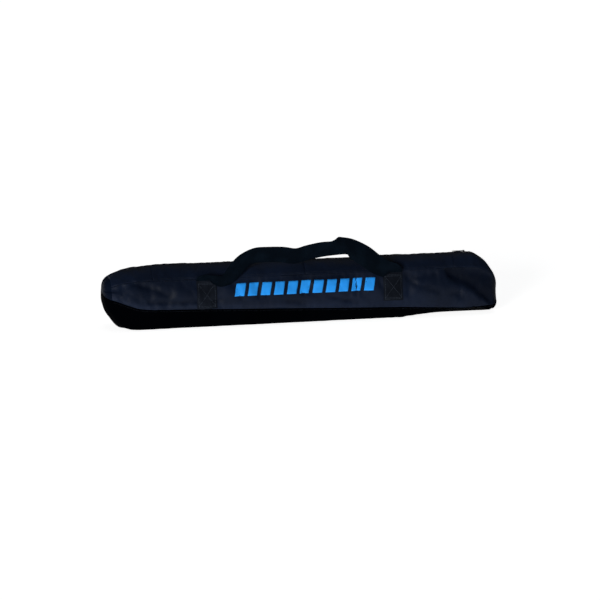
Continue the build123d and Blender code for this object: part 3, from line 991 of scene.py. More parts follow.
def on_side(x, height, side, out=0.0):
    """A point on the front (-1) or back (1) panel at x and a height, out from its face."""
    low, high = (TOP_F, SEAM_F) if side < 0 else (SEAM_B, TOP_B)
    point, normal = Skin.at(x, Skin.row_at(x, height, low, high))
    return point + normal * out


def cut_to(low, high, first_row, last_row):
    """Part of the skin's grid between two X values, with exact ends."""
    inner = [x for x in XS if low + 1 * MM < x < high - 1 * MM]
    rows = range(first_row, last_row + 1)
    return np.array([[Skin.at(x, row)[0] for row in rows] for x in (low, *inner, high)])


def cap_rings(side):
    """The end panel: rings that shrink from the end seam to the middle of a slightly domed end."""
    ring = Skin.grid[0 if side < 0 else STATIONS]
    middle = np.array((ring[0, 0], 0.0, 0.090 if side < 0 else 0.034))
    shares = (1, 0.975, 0.94, 0.89, 0.83, 0.76, 0.68, 0.58, 0.46, 0.32, 0.16, 0.0)
    rings = []
    for share in shares:
        rise = 1 - share**3.4
        points = middle + (ring - middle) * share
        points[:, 0] += side * (HALF - END_SEAM) * rise
        lumps = [0.8 * MM * noise.noise(Vector(p) * 26) * 4 * share * (1 - share) for p in points]
        points[:, 0] -= side * np.abs(np.array(lumps))
        rings.append(points)
    return above_floor(np.array(rings))


class SKIBAG_OT_panels(bpy.types.Operator):
    """Makes the bottom, sides, ends and closed ends of the top"""

    bl_idname = "ski_bag.panels"
    bl_label = "Bag Panels"

    def execute(self, context):
        settings = context.scene.ski_bag_panels
        Skin.make(settings)
        whole = (-END_SEAM, END_SEAM)
        for name, rows, finish in (
            ("front_panel", (TOP_F, SEAM_F), "bag_fabric"),
            ("back_panel", (SEAM_B, TOP_B), "bag_fabric"),
            ("bottom_panel", (SEAM_F, SEAM_B), "base_fabric"),
        ):
            made = piece(name + "_cloth", mapped_grid(cut_to(*whole, *rows)), finish, flip=True)
            if name == "front_panel":
                # the panels carry painted shade in their creases and a painted highlight over their lower seams
                paint_fold_shade_and_rim_light(made, FRONT_CREASES, FRONT_SEAM)
            elif name == "back_panel":
                paint_fold_shade_and_rim_light(made, BACK_CREASES, BACK_SEAM)
            thicken(subdivided(made), settings.thickness)
            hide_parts(name)
            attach(made, "bag")
        for name, side in ENDS:
            self.end_panel(name, side, settings)
            self.top_end(name, side, settings)
        for name, side in SIDES:
            self.flap(name, side, settings)
        return {"FINISHED"}

    def end_panel(self, name, side, settings):
        bm = mapped_grid(cap_rings(side))
        rows = EDGE_B + 1
        for face in bm.faces:
            row = min(vert.index % rows for vert in face.verts)
            face.material_index = int(SEAM_F <= row < SEAM_B)
        bmesh.ops.remove_doubles(bm, verts=bm.verts, dist=1e-5)
        bmesh.ops.recalc_face_normals(bm, faces=bm.faces)
        # painted shade: the end panel's upper part takes the darker copy of the panel fabric
        made = piece(name + "_end_cloth", bm, "end_fabric")
        made.data.materials.append(finish_for("base_fabric"))
        outward(made, (side, 0, 0))
        thicken(subdivided(made), settings.thickness)
        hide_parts(name + "_end_panel")
        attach(made, "bag")

    def top_end(self, name, side, settings):
        """Both halves of the closed end, joined along the ridge past the zip."""
        span = sorted((side * OPENING, side * END_SEAM))
        bm = mapped_grid(cut_to(*span, EDGE_F, TOP_F))
        other = mapped_grid(cut_to(*span, TOP_B, EDGE_B))
        mesh = bpy.data.meshes.new("half")
        other.to_mesh(mesh)
        other.free()
        bm.from_mesh(mesh)
        bpy.data.meshes.remove(mesh)
        bmesh.ops.remove_doubles(bm, verts=bm.verts, dist=2e-5)
        made = piece(name + "_top_cloth", bm, "bag_fabric", flip=True)
        thicken(subdivided(made), settings.thickness)
        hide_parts(name + "_top_end")
        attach(made, "bag")

    def flap(self, name, side, settings):
        """A flap in two halves, each from the middle to where the closed end starts."""
        rows = (EDGE_F, TOP_F) if side < 0 else (TOP_B, EDGE_B)
        for end, way in ENDS:
            span = sorted((0.0, way * OPENING))
            made = piece(f"{name}_flap_{end}", mapped_grid(cut_to(*span, *rows)), "bag_fabric", flip=True)
            thicken(subdivided(made), settings.thickness)
            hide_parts(name + "_top_flap")
            opening(made, name, way)


def outward(made, way):
    """Turns the faces over if most of them point against way."""
    mesh = made.data
    total = Vector((0, 0, 0))
    for face in mesh.polygons:
        total += face.normal * face.area
    if total.dot(Vector(way)) < 0:
        mesh.flip_normals()


def opening(made, name, way):
    """Bakes the piece's place into its mesh; the piece is not bent."""
    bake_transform(made)


# ---------------------------------------------------------------- rows of small shapes


def run_of(name, seed, pitch, count, material):
    """One small shape repeated along X from 0, as a finished mesh."""
    made = piece(name, seed, material)
    copies = made.modifiers.new("Run", "ARRAY")
    copies.count = count
    copies.use_relative_offset = False
    copies.use_constant_offset = True
    copies.constant_offset_displace = (pitch, 0, 0)
    return applied(made)


def stitch_seed(length, radius):
    """One stitch: a small grain that lies along X and dips at its ends."""
    bm = bmesh.new()
    bmesh.ops.create_uvsphere(bm, u_segments=6, v_segments=4, radius=1.0)
    bmesh.ops.rotate(bm, verts=bm.verts, cent=(0, 0, 0), matrix=Matrix.Rotation(math.pi / 2, 3, "Y"))
    bmesh.ops.scale(bm, verts=bm.verts, vec=(length / 2, radius, radius))
    bmesh.ops.translate(bm, verts=bm.verts, vec=(length / 2, 0, 0))
    return bm


def stitch_row(name, path, place, finish="thread"):
    """Stitches along a path of flat points: place puts a flat point on the cloth at a height over it."""
    details = bpy.context.scene.ski_bag_details
    path = np.array(path, float)
    lengths = run_lengths(path)
    count = max(1, int(lengths[-1] / details.stitch_pitch))
    made = run_of(name, stitch_seed(details.stitch, details.thread_radius), lengths[-1] / count, count, finish)

    def at(s):
        return np.array([np.interp(s, lengths, path[:, k]) for k in (0, 1)])

    def lay(points):
        out = []
        for s, aside, up in points:
            ahead = at(s + 0.5 * MM) - at(s - 0.5 * MM)
            run = ahead / max(np.linalg.norm(ahead), 1e-9)
            x, y = at(s) + aside * np.array((-run[1], run[0]))
            out.append(place(x, y, up))
        return out

    return moved(made, lay)


def joined(name, pieces):
    """Several objects made into one."""
    bm = bmesh.new()
    bm.loops.layers.uv.new("Cloth")
    material = pieces[0].data.materials[0].name.removesuffix("_finish")
    for made in pieces:
        bm.from_mesh(made.data)
        mesh = made.data
        bpy.data.objects.remove(made)
        bpy.data.meshes.remove(mesh)
    return piece(name, bm, material)


def along_row(row, distance):
    """Puts a flat point (x, aside) beside a row of the skin."""

    def place(x, aside, up):
        point, normal = Skin.at(x, Skin.row_beside(x, row, distance + aside))
        return point + normal * up

    return place


class SKIBAG_OT_seams(bpy.types.Operator):
    """Sews the stitch rows of the flaps and seams"""

    bl_idname = "ski_bag.seams"
    bl_label = "Seam Stitching"

    def execute(self, context):
        for name, side in SIDES:
            edge = EDGE_F if side < 0 else EDGE_B
            top = TOP_F if side < 0 else TOP_B
            for end, way in ENDS:
                reach = sorted((way * 1 * MM, way * (OPENING - 1 * MM)))
                rows = [
                    stitch_row("row", [(reach[0], 0), (reach[1], 0)], along_row(row, -side * distance))
                    for row, distance in (*((edge, d) for d in STITCH_ROWS), (top, -5 * MM))
                ]
                made = joined(f"{name}_flap_stitches_{end}", rows)
                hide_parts(name + "_flap_stitching")
                opening(made, name, way)
            seam = SEAM_F if side < 0 else SEAM_B
            reach = END_SEAM - 4 * MM
            rows = [
                stitch_row("row", [(-reach, 0), (reach, 0)], along_row(row, -side * distance))
                for row, distance in ((top, 4 * MM), (seam, -4 * MM), (seam, 4.5 * MM))
            ]
            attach(joined(name + "_seam_stitches", rows), "bag")
        for name, side in ENDS:
            rows = [
                stitch_row(
                    "row",
                    [(side * (OPENING + 1 * MM), 0), (side * (ZIP_END + 2 * MM), 0)][::side],
                    along_row(edge, way * distance),
                )
                for edge, way in ((EDGE_F, 1), (EDGE_B, -1))
                for distance in STITCH_ROWS
            ]
            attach(joined(name + "_top_stitches", rows), "bag")
        return {"FINISHED"}


# ---------------------------------------------------------------- zip


def tooth_seed(pitch, side):
    """One turn of the coil, from the tape to the middle."""
    bm = bmesh.new()
    bmesh.ops.create_uvsphere(bm, u_segments=8, v_segments=6, radius=1.0)
    low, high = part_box("front_zip_coil")
    bmesh.ops.scale(bm, verts=bm.verts, vec=(pitch * 0.42, (high.y - low.y) / 2, (high.z - low.z) / 2))
    lean = Matrix.Rotation(-side * 0.25, 3, "Z")
    bmesh.ops.rotate(bm, verts=bm.verts, cent=(0, 0, 0), matrix=lean)
    middle = side * (high.y - low.y) / 2 + side * abs(high.y)
    bmesh.ops.translate(bm, verts=bm.verts, vec=(pitch / 2, middle, (low.z + high.z) / 2))
    return bm


def ridge_fall(x):
    """How far the ridge stands over its level run, at x."""
    return along_bag(RIDGE, x) - along_bag(RIDGE, 0)


def follow_ridge(made):
    def lower(points):
        points = points.copy()
        points[:, 2] += ridge_fall(points[:, 0])
        return points

    return moved(made, lower)


class SKIBAG_OT_zip(bpy.types.Operator):
    """Makes the tapes and coils of the zip and its closed ends"""

    bl_idname = "ski_bag.zip"
    bl_label = "Zip"

    def execute(self, context):
        pitch = context.scene.ski_bag_zip.tooth_pitch
        for name, side in SIDES:
            for end, way in ENDS:
                span = sorted((0.0, way * OPENING))
                made = self.tape(f"{name}_tape_{end}", side, span)
                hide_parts(name + "_zip_tape")
                opening(made, name, way)
                made = self.coil(f"{name}_coil_{end}", side, span, pitch)
                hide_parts(name + "_zip_coil")
                opening(made, name, way)
        for end, way in ENDS:
            span = sorted((way * OPENING, way * ZIP_END))
            for name, side in SIDES:
                made = self.tape(f"{end}_end_tape_{name}", side, span)
                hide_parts(end + "_zip_end")
                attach(made, "bag")
                made = self.coil(f"{end}_end_coil_{name}", side, span, pitch)
                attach(made, "bag")
            self.stop(end)
        return {"FINISHED"}

    def tape(self, name, side, span):
        """A strip of tape that lies under the flap's edge, with a corded inner edge."""
        low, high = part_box("front_zip_tape")
        xs = np.linspace(*span, 40)
        shares = (0.0, 0.05, 0.12, 0.22, 0.4, 0.6, 0.8, 1.0)
        points = [
            [
                (x, side * (abs(high.y) + s * (high.y - low.y)), high.z - 0.15 * MM - 1.4 * MM * s**2 + ridge_fall(x))
                for s in shares
            ]
            for x in xs
        ]
        made = piece(name, mapped_grid(points), "zip_tape")
        outward(made, (0, 0, 1))
        return thicken(made, high.z - low.z)

    def coil(self, name, side, span, pitch):
        """The turns of a coil on their sewing cord."""
        count = int((span[1] - span[0]) / pitch)
        made = run_of(name + "_turns", tooth_seed(pitch, side), (span[1] - span[0]) / count, count, "zip_coil")
        moved(made, lambda points: points + np.array((span[0], 0, 0)))
        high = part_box("front_zip_coil")[1]
        cord = bmesh.new()
        middle = ((span[0] + span[1]) / 2, side * (abs(high.y) + 1.9 * MM), high.z - 0.75 * MM)
        rod(cord, 0.5 * MM, span[1] - span[0], middle, "Y", 8)
        return follow_ridge(joined(name, [made, piece(name + "_cord", cord, "zip_coil")]))

    def stop(self, end):
        """A folded metal clip over both coils."""
        low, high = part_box(end + "_zip_stop")
        size, middle = high - low, (high + low) / 2
        bm = bmesh.new()
        bmesh.ops.create_grid(bm, x_segments=4, y_segments=8, size=0.5)
        for vert in bm.verts:
            y = vert.co.y * 2
            lift = (1 - abs(y) ** 4) ** 0.5
            across = middle.y + y * size.y / 2 * 0.98
            vert.co = (middle.x + vert.co.x * size.x, across, low.z + 0.2 * MM + lift * (size.z - 0.4 * MM))
        made = piece(end + "_stop", bm, "slider_metal")
        outward(made, (0, 0, 1))
        bevelled(thicken(made, 0.8 * MM), 0.2 * MM)
        follow_ridge(made)
        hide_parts(end + "_zip_stop")
        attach(made, "bag")


class SKIBAG_OT_slider(bpy.types.Operator):
    """Makes the zip's slider and its pull"""

    bl_idname = "ski_bag.slider"
    bl_label = "Slider and Pull"

    def execute(self, context):
        low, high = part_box("zip_slider")
        pull_low, pull_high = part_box("zip_pull")
        middle = (low.x + high.x) / 2
        axis = hinge_of("pull")
        top = axis.z - 2.2 * MM
        wings = [
            self.wing(name, middle, z, 1.2 * MM, high.x - low.x, high.y - low.y)
            for name, z in (("upper", top - 0.6 * MM), ("lower", low.z + 0.6 * MM))
        ]
        wings += [self.flange(side, middle, top) for side in (-1, 1)]
        wings.append(self.bail(middle, axis, top))
        slider = joined("slider_body", wings)
        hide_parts("zip_slider")
        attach(slider, "slider")
        pull = self.pull(axis, pull_low, pull_high)
        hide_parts("zip_pull")
        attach(pull, "pull")
        return {"FINISHED"}

    def wing(self, name, middle, z, thick, length, width):
        """A shield-shaped plate with rounded edges."""
        bm = bmesh.new()
        bmesh.ops.create_grid(bm, x_segments=8, y_segments=4, size=0.5)
        for vert in bm.verts:
            share = vert.co.x + 0.5
            narrow = 0.62 + 0.38 * math.sin(math.pi * min(1.0, 0.15 + share * 0.9)) ** 0.6
            crown = 0.35 * MM * (1 - (2 * vert.co.y) ** 2)
            vert.co = (middle + vert.co.x * length, vert.co.y * width * narrow, z + thick / 2 + crown)
        made = piece(name, bm, "slider_metal")
        outward(made, (0, 0, 1))
        return applied(bevelled(thicken(made, thick), 0.35 * MM, 3))

    def flange(self, side, middle, top):
        """The rim that holds the coil in, from one wing towards the other."""
        bm = bmesh.new()
        bmesh.ops.create_cube(bm, size=1.0)
        bmesh.ops.scale(bm, verts=bm.verts, vec=(11 * MM, 0.9 * MM, 2.4 * MM))
        bmesh.ops.translate(bm, verts=bm.verts, vec=(middle, side * 3.75 * MM, top - 1.7 * MM))
        bmesh.ops.bevel(bm, geom=bm.edges, offset=0.25 * MM, segments=2, profile=0.5, affect="EDGES", material=-1)
        return piece("flange", bm, "slider_metal")

    def bail(self, middle, axis, top):
        """A bar across the slider on two posts, which the pull turns on."""
        bm = bmesh.new()
        rod(bm, 0.9 * MM, 7.9 * MM, axis, "X", 16)
        for side in (-1, 1):
            made = rod(bm, 1.6 * MM, axis.z - top + 0.8 * MM, (0, 0, 0), None, 12, tip=1.15 * MM)
            bmesh.ops.scale(bm, verts=made, vec=(1, 0.27, 1))
            place = (middle, side * 3.9 * MM, (axis.z + top) / 2 + 0.1 * MM)
            bmesh.ops.translate(bm, verts=made, vec=place)
        return piece("bail", bm, "slider_metal")

    def pull(self, axis, low, high):
        """A tapered tab with a rolled eye and a grip of raised bars."""
        parts = []
        bm = bmesh.new()
        bmesh.ops.create_grid(bm, x_segments=12, y_segments=4, size=0.5)
        length = axis.x - low.x
        width = high.y - low.y
        for vert in bm.verts:
            share = 0.5 - vert.co.x
            waist = 0.78 + 0.22 * share
            if share >= 0.85:
                waist = 0.97 * math.sqrt(max(0.0, 1 - ((share - 0.85) / 0.16) ** 2)) + 0.03
            vert.co = (low.x + (vert.co.x + 0.5) * (length - 1.2 * MM), vert.co.y * width * waist, axis.z + 0.6 * MM)
        tab = piece("tab", bm, "slider_metal")
        outward(tab, (0, 0, 1))
        parts.append(applied(bevelled(thicken(tab, 1.2 * MM), 0.3 * MM, 3)))
        for k in range(5):
            bar = bmesh.new()
            rod(bar, 0.4 * MM, 4.2 * MM, (low.x + (6 + 2.1 * k) * MM, 0, axis.z + 0.6 * MM), "X", 8)
            parts.append(piece("bar", bar, "slider_metal"))
        eye = bmesh.new()
        start = eye.verts.new((axis.x, -width / 2 + 0.1 * MM, axis.z + 1.75 * MM))
        other = eye.verts.new((axis.x, width / 2 - 0.1 * MM, axis.z + 1.75 * MM))
        line = eye.edges.new((start, other))
        bmesh.ops.spin(
            eye, geom=[start, other, line], cent=axis, axis=(0, 1, 0), angle=2 * math.pi, steps=24, use_merge=True
        )
        bmesh.ops.recalc_face_normals(eye, faces=eye.faces)
        roll = piece("eye", eye, "slider_metal")
        parts.append(applied(thicken(roll, 0.65 * MM)))
        return joined("pull_tab", parts)


# ---------------------------------------------------------------- handles


def ribbon(name, keys, settings, stations, skew=None):
    """Webbing along keys of (x, y, z, width direction, width share, cup); skew slants its rows by x."""
    rows = even_runs(keys, stations)
    columns = np.linspace(-0.5, 0.5, 15)
    points = []
    for k, row in enumerate(rows):
        centre, wide = row[:3], unit(row[3:6])
        run = unit(rows[min(k + 1, len(rows) - 1)][:3] - rows[max(k - 1, 0)][:3])
        wide = unit(wide - run * (wide @ run))
        out = np.cross(run, wide)
        width = settings.width * row[6]
        slant = run * width * skew(centre[0]) if skew else 0 * run
        points.append([centre + (wide * width - slant) * c + out * row[7] * (1 - 4 * c * c) for c in columns])
    made = piece(name, mapped_grid(np.array(points)), "webbing")
    thicken(made, settings.thickness, offset=0)
    bevelled(made, 0.5 * MM)
    return made


def hinge_of(name):
    joint = next(j for j in frame["joints"] if j["child"] == name)
    return Vector(joint["pos_m"])


class SKIBAG_OT_handles(bpy.types.Operator):
    """Makes the standing front handle and the hanging back handle with their sewn ends"""

    bl_idname = "ski_bag.handles"
    bl_label = "Carry Handles"

    def execute(self, context):
        settings = context.scene.ski_bag_handles
        for name, side in SIDES:
            body = name + "_handle"
            hinge = hinge_of(body)
            keys = self.standing(hinge) if side < 0 else self.hanging(hinge)
            low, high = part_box(name + "_handle_ends")
            centre = (low.x + high.x) / 2
            keys = [(key[0] + centre, *key[1:]) for key in keys]
            if side < 0:
                loop = ribbon(name + "_handle_strap", keys, settings, 230, self.slant_at(LOOP_PEAK + centre))
            else:
                loop = ribbon(name + "_handle_strap", keys, settings, 200)
            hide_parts(body + "_loop")
            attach(loop, body)
            for end, way in ENDS:
                middle = (low.x if way < 0 else high.x) - way * settings.width / 2
                self.sewn_end(name, side, end, middle, hinge, settings)
        return {"FINISHED"}

    def slant_at(self, peak):
        """How far the webbing's rows slant: most at the crease over the peak."""
        return lambda x: 0.95 * math.exp(-(((x - peak) / (34 * MM)) ** 2))

    def standing(self, hinge):
        """The front loop: it rises from the left end, runs level, peaks at a crease and comes down on the right."""
        y, z = hinge.y, hinge.z
        lean = (-0.545, 0.839)
        return [
            (-0.2350, y, z, -1, 0, 0, 1, 0),
            (-0.2345, y - 0.0030, z + 0.0035, -1, 0, 0.10, 0.98, 0.0005),
            (-0.2290, y - 0.0085, z + 0.0065, -0.92, -0.10, 0.38, 0.80, 0.0030),
            (-0.2160, y - 0.0125, z + 0.0040, -0.62, -0.34, 0.70, 0.66, 0.0050),
            (-0.1980, y - 0.0125, z + 0.0000, -0.30, -0.42, 0.86, 0.70, 0.0050),
            (-0.1800, y - 0.0110, z + 0.0080, -0.50, -0.42, 0.80, 0.84, 0.0030),
            (-0.1640, y - 0.0110, z + 0.0260, -0.62, -0.44, 0.68, 0.95, 0.0015),
            (-0.1450, y - 0.0115, z + 0.0455, -0.50, -0.50, 0.73, 1, 0.0008),
            (-0.1180, y - 0.0120, z + 0.0590, -0.16, *lean, 1, 0.0008),
            (-0.0880, y - 0.0122, z + 0.0605, 0.00, *lean, 1, 0.0010),
            (-0.0500, y - 0.0122, z + 0.0590, 0.02, *lean, 1, 0.0012),
            (-0.0160, y - 0.0122, z + 0.0540, -0.05, *lean, 1, 0.0010),
            (0.0140, y - 0.0120, z + 0.0605, -0.18, *lean, 1, 0.0008),
            (0.0500, y - 0.0104, z + 0.0665, -0.16, -0.56, 0.83, 1, 0.0004),
            (0.0860, y - 0.0095, z + 0.0688, -0.08, -0.60, 0.79, 1, 0),
            (0.1030, y - 0.0095, z + 0.0692, 0.05, -0.54, 0.83, 1, 0),
            (0.1130, y - 0.0090, z + 0.0675, 0.20, -0.15, 0.97, 1, 0),
            (0.1340, y - 0.0080, z + 0.0610, 0.42, 0.14, 0.90, 1, 0.0006),
            (0.1610, y - 0.0085, z + 0.0465, 0.54, 0.14, 0.83, 1, 0.0010),
            (0.1890, y - 0.0090, z + 0.0250, 0.64, 0.06, 0.76, 0.96, 0.0015),
            (0.2150, y - 0.0080, z + 0.0110, 0.82, 0, 0.56, 0.88, 0.0022),
            (0.2290, y - 0.0050, z + 0.0070, 0.95, 0, 0.25, 0.93, 0.0012),
            (0.2345, y - 0.0020, z + 0.0035, 1, 0, 0.05, 0.99, 0.0004),
            (0.2350, y, z, 1, 0, 0, 1, 0),
        ]

    def hanging(self, hinge):
        """The back loop: it folds over its sewn ends and hangs down in a slack curve."""
        y, z = hinge.y, hinge.z
        half = [
            (-0.2350, y, z, 1, 0, 0, 1, 0),
            (-0.2350, y + 0.0028, z + 0.0018, 1, 0, 0, 1, 0),
            (-0.2345, y + 0.0055, z - 0.0030, 1, 0, 0.02, 1, 0),
            (-0.2310, y + 0.0085, z - 0.0140, 0.96, 0, 0.26, 0.96, 0.0006),
            (-0.2180, y + 0.0120, z - 0.0270, 0.76, 0.05, 0.64, 0.88, 0.0015),
            (-0.1950, y + 0.0150, z - 0.0390, 0.50, 0.08, 0.86, 0.92, 0.0012),
            (-0.1600, y + 0.0175, z - 0.0490, 0.28, 0.10, 0.95, 1, 0.0008),
            (-0.1100, y + 0.0195, z - 0.0570, 0.15, 0.10, 0.98, 1, 0.0006),
            (-0.0500, y + 0.0205, z - 0.0615, 0.06, 0.08, 0.99, 1, 0.0006),
        ]
        middle = [(0.0050, y + 0.0200, z - 0.0625, 0, 0.06, 1, 1, 0.0006)]
        other = [(-k[0] + 0.004 * (3 < n < 8), *k[1:3], -k[3], *k[4:]) for n, k in enumerate(half)][::-1]
        return half + middle + other

    def sewn_end(self, name, side, end, middle, hinge, settings):
        """The webbing sewn flat on the panel, and its box and cross of stitches."""
        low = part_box(name + "_handle_ends")[0].z
        half = settings.width / 2
        xs = np.linspace(middle - half, middle + half, BOX_COLUMNS)
        heights = np.linspace(low, hinge.z, BOX_ROWS)
        out = settings.thickness / 2 + 0.1 * MM
        points = []
        for x in xs:
            column = []
            for h in heights:
                point = on_side(x, h, side, out)
                share = np.clip((h - (hinge.z - 7 * MM)) / (7 * MM), 0, 1)
                share = share * share * (3 - 2 * share)
                column.append(point * (1 - share) + np.array((x, hinge.y, h)) * share)
            points.append(column)
        patch = np.array(points)
        # the sewn end takes the lighter copy of the webbing, which is painted light
        made = piece(f"{name}_sewn_end_{end}", mapped_grid(patch.transpose(1, 0, 2)), "sewn_webbing")
        outward(made, (0, side, 0))
        bevelled(thicken(made, settings.thickness, offset=0), 0.5 * MM)
        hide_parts(name + "_handle_ends")
        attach(made, "bag")
        normals = normals_of(patch)
        if normals[BOX_COLUMNS // 2, BOX_ROWS // 2, 1] * side < 0:
            normals = -normals

        def place(x, h, up):
            i, j = (
                np.clip((value - marks[0]) / (marks[-1] - marks[0]) * (len(marks) - 1), 0, len(marks) - 1.001)
                for value, marks in ((x, xs), (h, heights))
            )
            over = settings.thickness / 2 + 0.12 * MM + up
            return between(patch, i, j) + unit(between(normals, i, j)) * over

        inset = 4 * MM
        left, right = xs[0] + inset, xs[-1] - inset
        bottom, top = heights[0] + inset, heights[-1] - 6 * MM
        figures = [
            [(left, bottom), (right, bottom)], [(left, top), (right, top)],
            [(left, bottom), (left, top)], [(right, bottom), (right, top)],
            [(left, bottom + 3 * MM), (right, bottom + 3 * MM)], [(left, top - 3 * MM), (right, top - 3 * MM)],
            [(left, bottom + 3 * MM), (right, top - 3 * MM)], [(left, top - 3 * MM), (right, bottom + 3 * MM)],
        ]
        rows = [stitch_row("row", figure, place, "box_thread") for figure in figures]
        sewing = joined(f"{name}_box_stitches_{end}", rows)
        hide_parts(name + "_handle_stitching")
        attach(sewing, "bag")


# ---------------------------------------------------------------- print and bindings


class SKIBAG_OT_print(bpy.types.Operator):
    """Lays the row of slanted blocks on the front panel"""

    bl_idname = "ski_bag.print"
    bl_label = "Print"

    def execute(self, context):
        count = context.scene.ski_bag_details.blocks
        low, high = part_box("front_print")
        gap, slant = 9 * MM, 7 * MM
        pitch = (high.x - low.x - slant + gap) / count
        blocks = []
        for k in range(count):
            left = low.x + k * pitch
            shares = np.linspace(0, 1, 10)
            points = [
                [
                    on_side(left + s * (pitch - gap) + slant * t, low.z + t * (high.z - low.z), -1, 0.3 * MM)
                    for t in shares
                ]
                for s in shares
            ]
            block = piece("block", mapped_grid(points), "print")
            outward(block, (0, -1, 0))
            blocks.append(applied(thicken(block, 0.28 * MM)))
        made = joined("front_print_blocks", blocks)
        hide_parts("front_print")
        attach(made, "bag")
        return {"FINISHED"}


class SKIBAG_OT_bindings(bpy.types.Operator):
    """Lays the tapes over the seams inside the bag"""

    bl_idname = "ski_bag.bindings"
    bl_label = "Seam Bindings"

    def execute(self, context):
        depth = context.scene.ski_bag_panels.thickness + 0.6 * MM
        for name, side in SIDES:
            top, seam = (TOP_F, SEAM_F) if side < 0 else (TOP_B, SEAM_B)
            reaches = (("top", top, -2 * MM, 18 * MM), ("bottom", seam, 1 * MM, 15 * MM))
            for label, row, near, far in reaches:
                points = [
                    [
                        self.inside(x, Skin.row_beside(x, row, -side * distance), depth)
                        for distance in np.linspace(near, far, 5)
                    ]
                    for x in np.linspace(-BINDING_END, BINDING_END, 120)
                ]
                made = piece(f"{name}_{label}_tape", mapped_grid(points), "binding")
                outward(made, (0, -side, 0))
                thicken(made, BINDING)
                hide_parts(f"{name}_{label}_binding")
                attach(made, "bag")
        for name, side in ENDS:
            rows = np.arange(TOP_F + 1, TOP_B - 0.5, 1)
            points = [
                [self.inside(x, row, depth + 1.2 * MM) for row in rows]
                for x in np.linspace(side * END_TAPE[0], side * END_TAPE[1], 5)
            ]
            made = piece(name + "_end_tape_inside", mapped_grid(points), "binding")
            outward(made, (-side, 0, 0))
            thicken(made, BINDING, offset=0)
            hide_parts(name + "_end_binding")
            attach(made, "bag")
        return {"FINISHED"}

    def inside(self, x, row, depth):
        point, normal = Skin.at(x, row)
        return point - normal * depth


# ---------------------------------------------------------------- stage


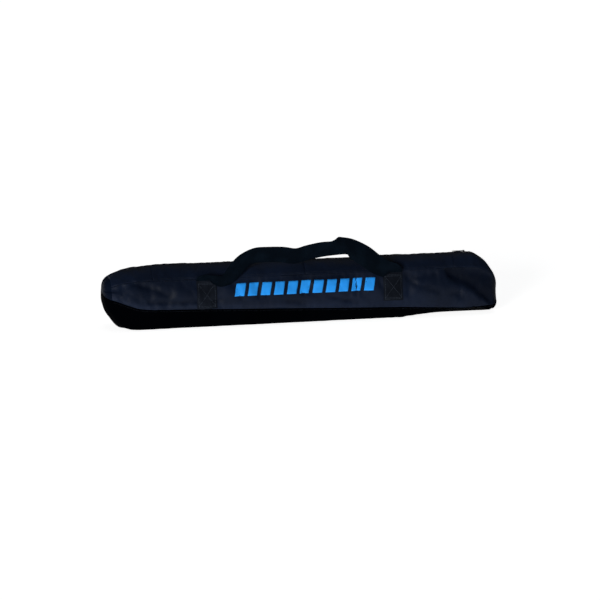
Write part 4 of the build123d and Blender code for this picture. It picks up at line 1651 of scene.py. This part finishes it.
class SKIBAG_OT_stage(bpy.types.Operator):
    """Sets the floor, the lights and the camera"""

    bl_idname = "ski_bag.stage"
    bl_label = "Stage"

    def execute(self, context):
        settings = context.scene.ski_bag_stage
        scene = context.scene
        bm = bmesh.new()
        bmesh.ops.create_circle(bm, cap_ends=True, segments=64, radius=14)
        floor = piece("floor", bm, "floor")
        del floor["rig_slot"]
        outward(floor, (0, 0, 1))
        floor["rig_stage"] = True
        self.surroundings(scene, settings.sky)
        self.sun("key", (-0.72, -1.0, 0.14), 18, settings.key)
        self.sun("fill", (0.2, 0.3, 1.0), 50, settings.fill)
        data = bpy.data.cameras.new("camera")
        data.lens = settings.lens
        data.clip_end = 60
        camera = bpy.data.objects.new("camera", data)
        scene.collection.objects.link(camera)
        turn, rise = settings.azimuth, settings.elevation
        way = Vector((math.sin(turn) * math.cos(rise), -math.cos(turn) * math.cos(rise), math.sin(rise)))
        aim = Vector(settings.aim)
        camera.location = aim + way * settings.distance
        camera.rotation_euler = (-way).to_track_quat("-Z", "Y").to_euler()
        scene.camera = camera
        scene.view_settings.view_transform = "Standard"
        scene.view_settings.look = "None"
        return {"FINISHED"}

    def surroundings(self, scene, strength):
        """White to the camera, and a dimmer even light to the bag."""
        world = bpy.data.worlds.new("studio")
        world.use_nodes = True
        tree = world.node_tree
        seen = tree.nodes["Background"]
        seen.inputs["Color"].default_value = WHITE
        soft = node(tree, "Background", {"Color": (0.93, 0.96, 1, 1), "Strength": strength})
        mix = node(tree, "MixShader")
        wire(tree, node(tree, "LightPath").outputs["Is Camera Ray"], mix.inputs[0])
        wire(tree, soft.outputs[0], mix.inputs[1])
        wire(tree, seen.outputs[0], mix.inputs[2])
        wire(tree, mix.outputs[0], tree.nodes["World Output"].inputs["Surface"])
        scene.world = world

    def sun(self, name, place, spread, power):
        data = bpy.data.lights.new(name, "SUN")
        data.angle = math.radians(spread)
        data.energy = power
        made = bpy.data.objects.new(name, data)
        made.location = place
        made.rotation_euler = (-Vector(place)).to_track_quat("-Z", "Y").to_euler()
        bpy.context.scene.collection.objects.link(made)


# ---------------------------------------------------------------- add-on

SETTINGS = {
    "ski_bag_panels": SkiBagPanels,
    "ski_bag_zip": SkiBagZip,
    "ski_bag_handles": SkiBagHandles,
    "ski_bag_details": SkiBagDetails,
    "ski_bag_stage": SkiBagStage,
}
OPERATORS = (
    SKIBAG_OT_panels,
    SKIBAG_OT_seams,
    SKIBAG_OT_zip,
    SKIBAG_OT_slider,
    SKIBAG_OT_handles,
    SKIBAG_OT_print,
    SKIBAG_OT_bindings,
    SKIBAG_OT_stage,
)


class SKIBAG_PT_sidebar(bpy.types.Panel):
    """Lists the settings and the operators"""

    bl_label = "Ski Bag"
    bl_idname = "SKIBAG_PT_sidebar"
    bl_space_type = "VIEW_3D"
    bl_region_type = "UI"
    bl_category = "Ski Bag"

    def draw(self, context):
        for name, group in SETTINGS.items():
            box = self.layout.box()
            for prop in group.__annotations__:
                box.prop(getattr(context.scene, name), prop)
        for operator in OPERATORS:
            self.layout.operator(operator.bl_idname)


def register():
    for cls in (*SETTINGS.values(), *OPERATORS, SKIBAG_PT_sidebar):
        bpy.utils.register_class(cls)
    for name, group in SETTINGS.items():
        setattr(bpy.types.Scene, name, PointerProperty(type=group))


def unregister():
    for name in SETTINGS:
        delattr(bpy.types.Scene, name)
    for cls in reversed((*SETTINGS.values(), *OPERATORS, SKIBAG_PT_sidebar)):
        bpy.utils.unregister_class(cls)


def main():
    register()
    bpy.ops.ski_bag.panels()
    bpy.ops.ski_bag.seams()
    bpy.ops.ski_bag.zip()
    bpy.ops.ski_bag.slider()
    bpy.ops.ski_bag.handles()
    bpy.ops.ski_bag.print()
    bpy.ops.ski_bag.bindings()
    bpy.ops.ski_bag.stage()
    boxes = {"cad": CAD_BOX, "visual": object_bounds()}
    plain = {name: [[float(c) for c in corner] for corner in corners] for name, corners in boxes.items()}


if __name__ == "__main__":
    main()
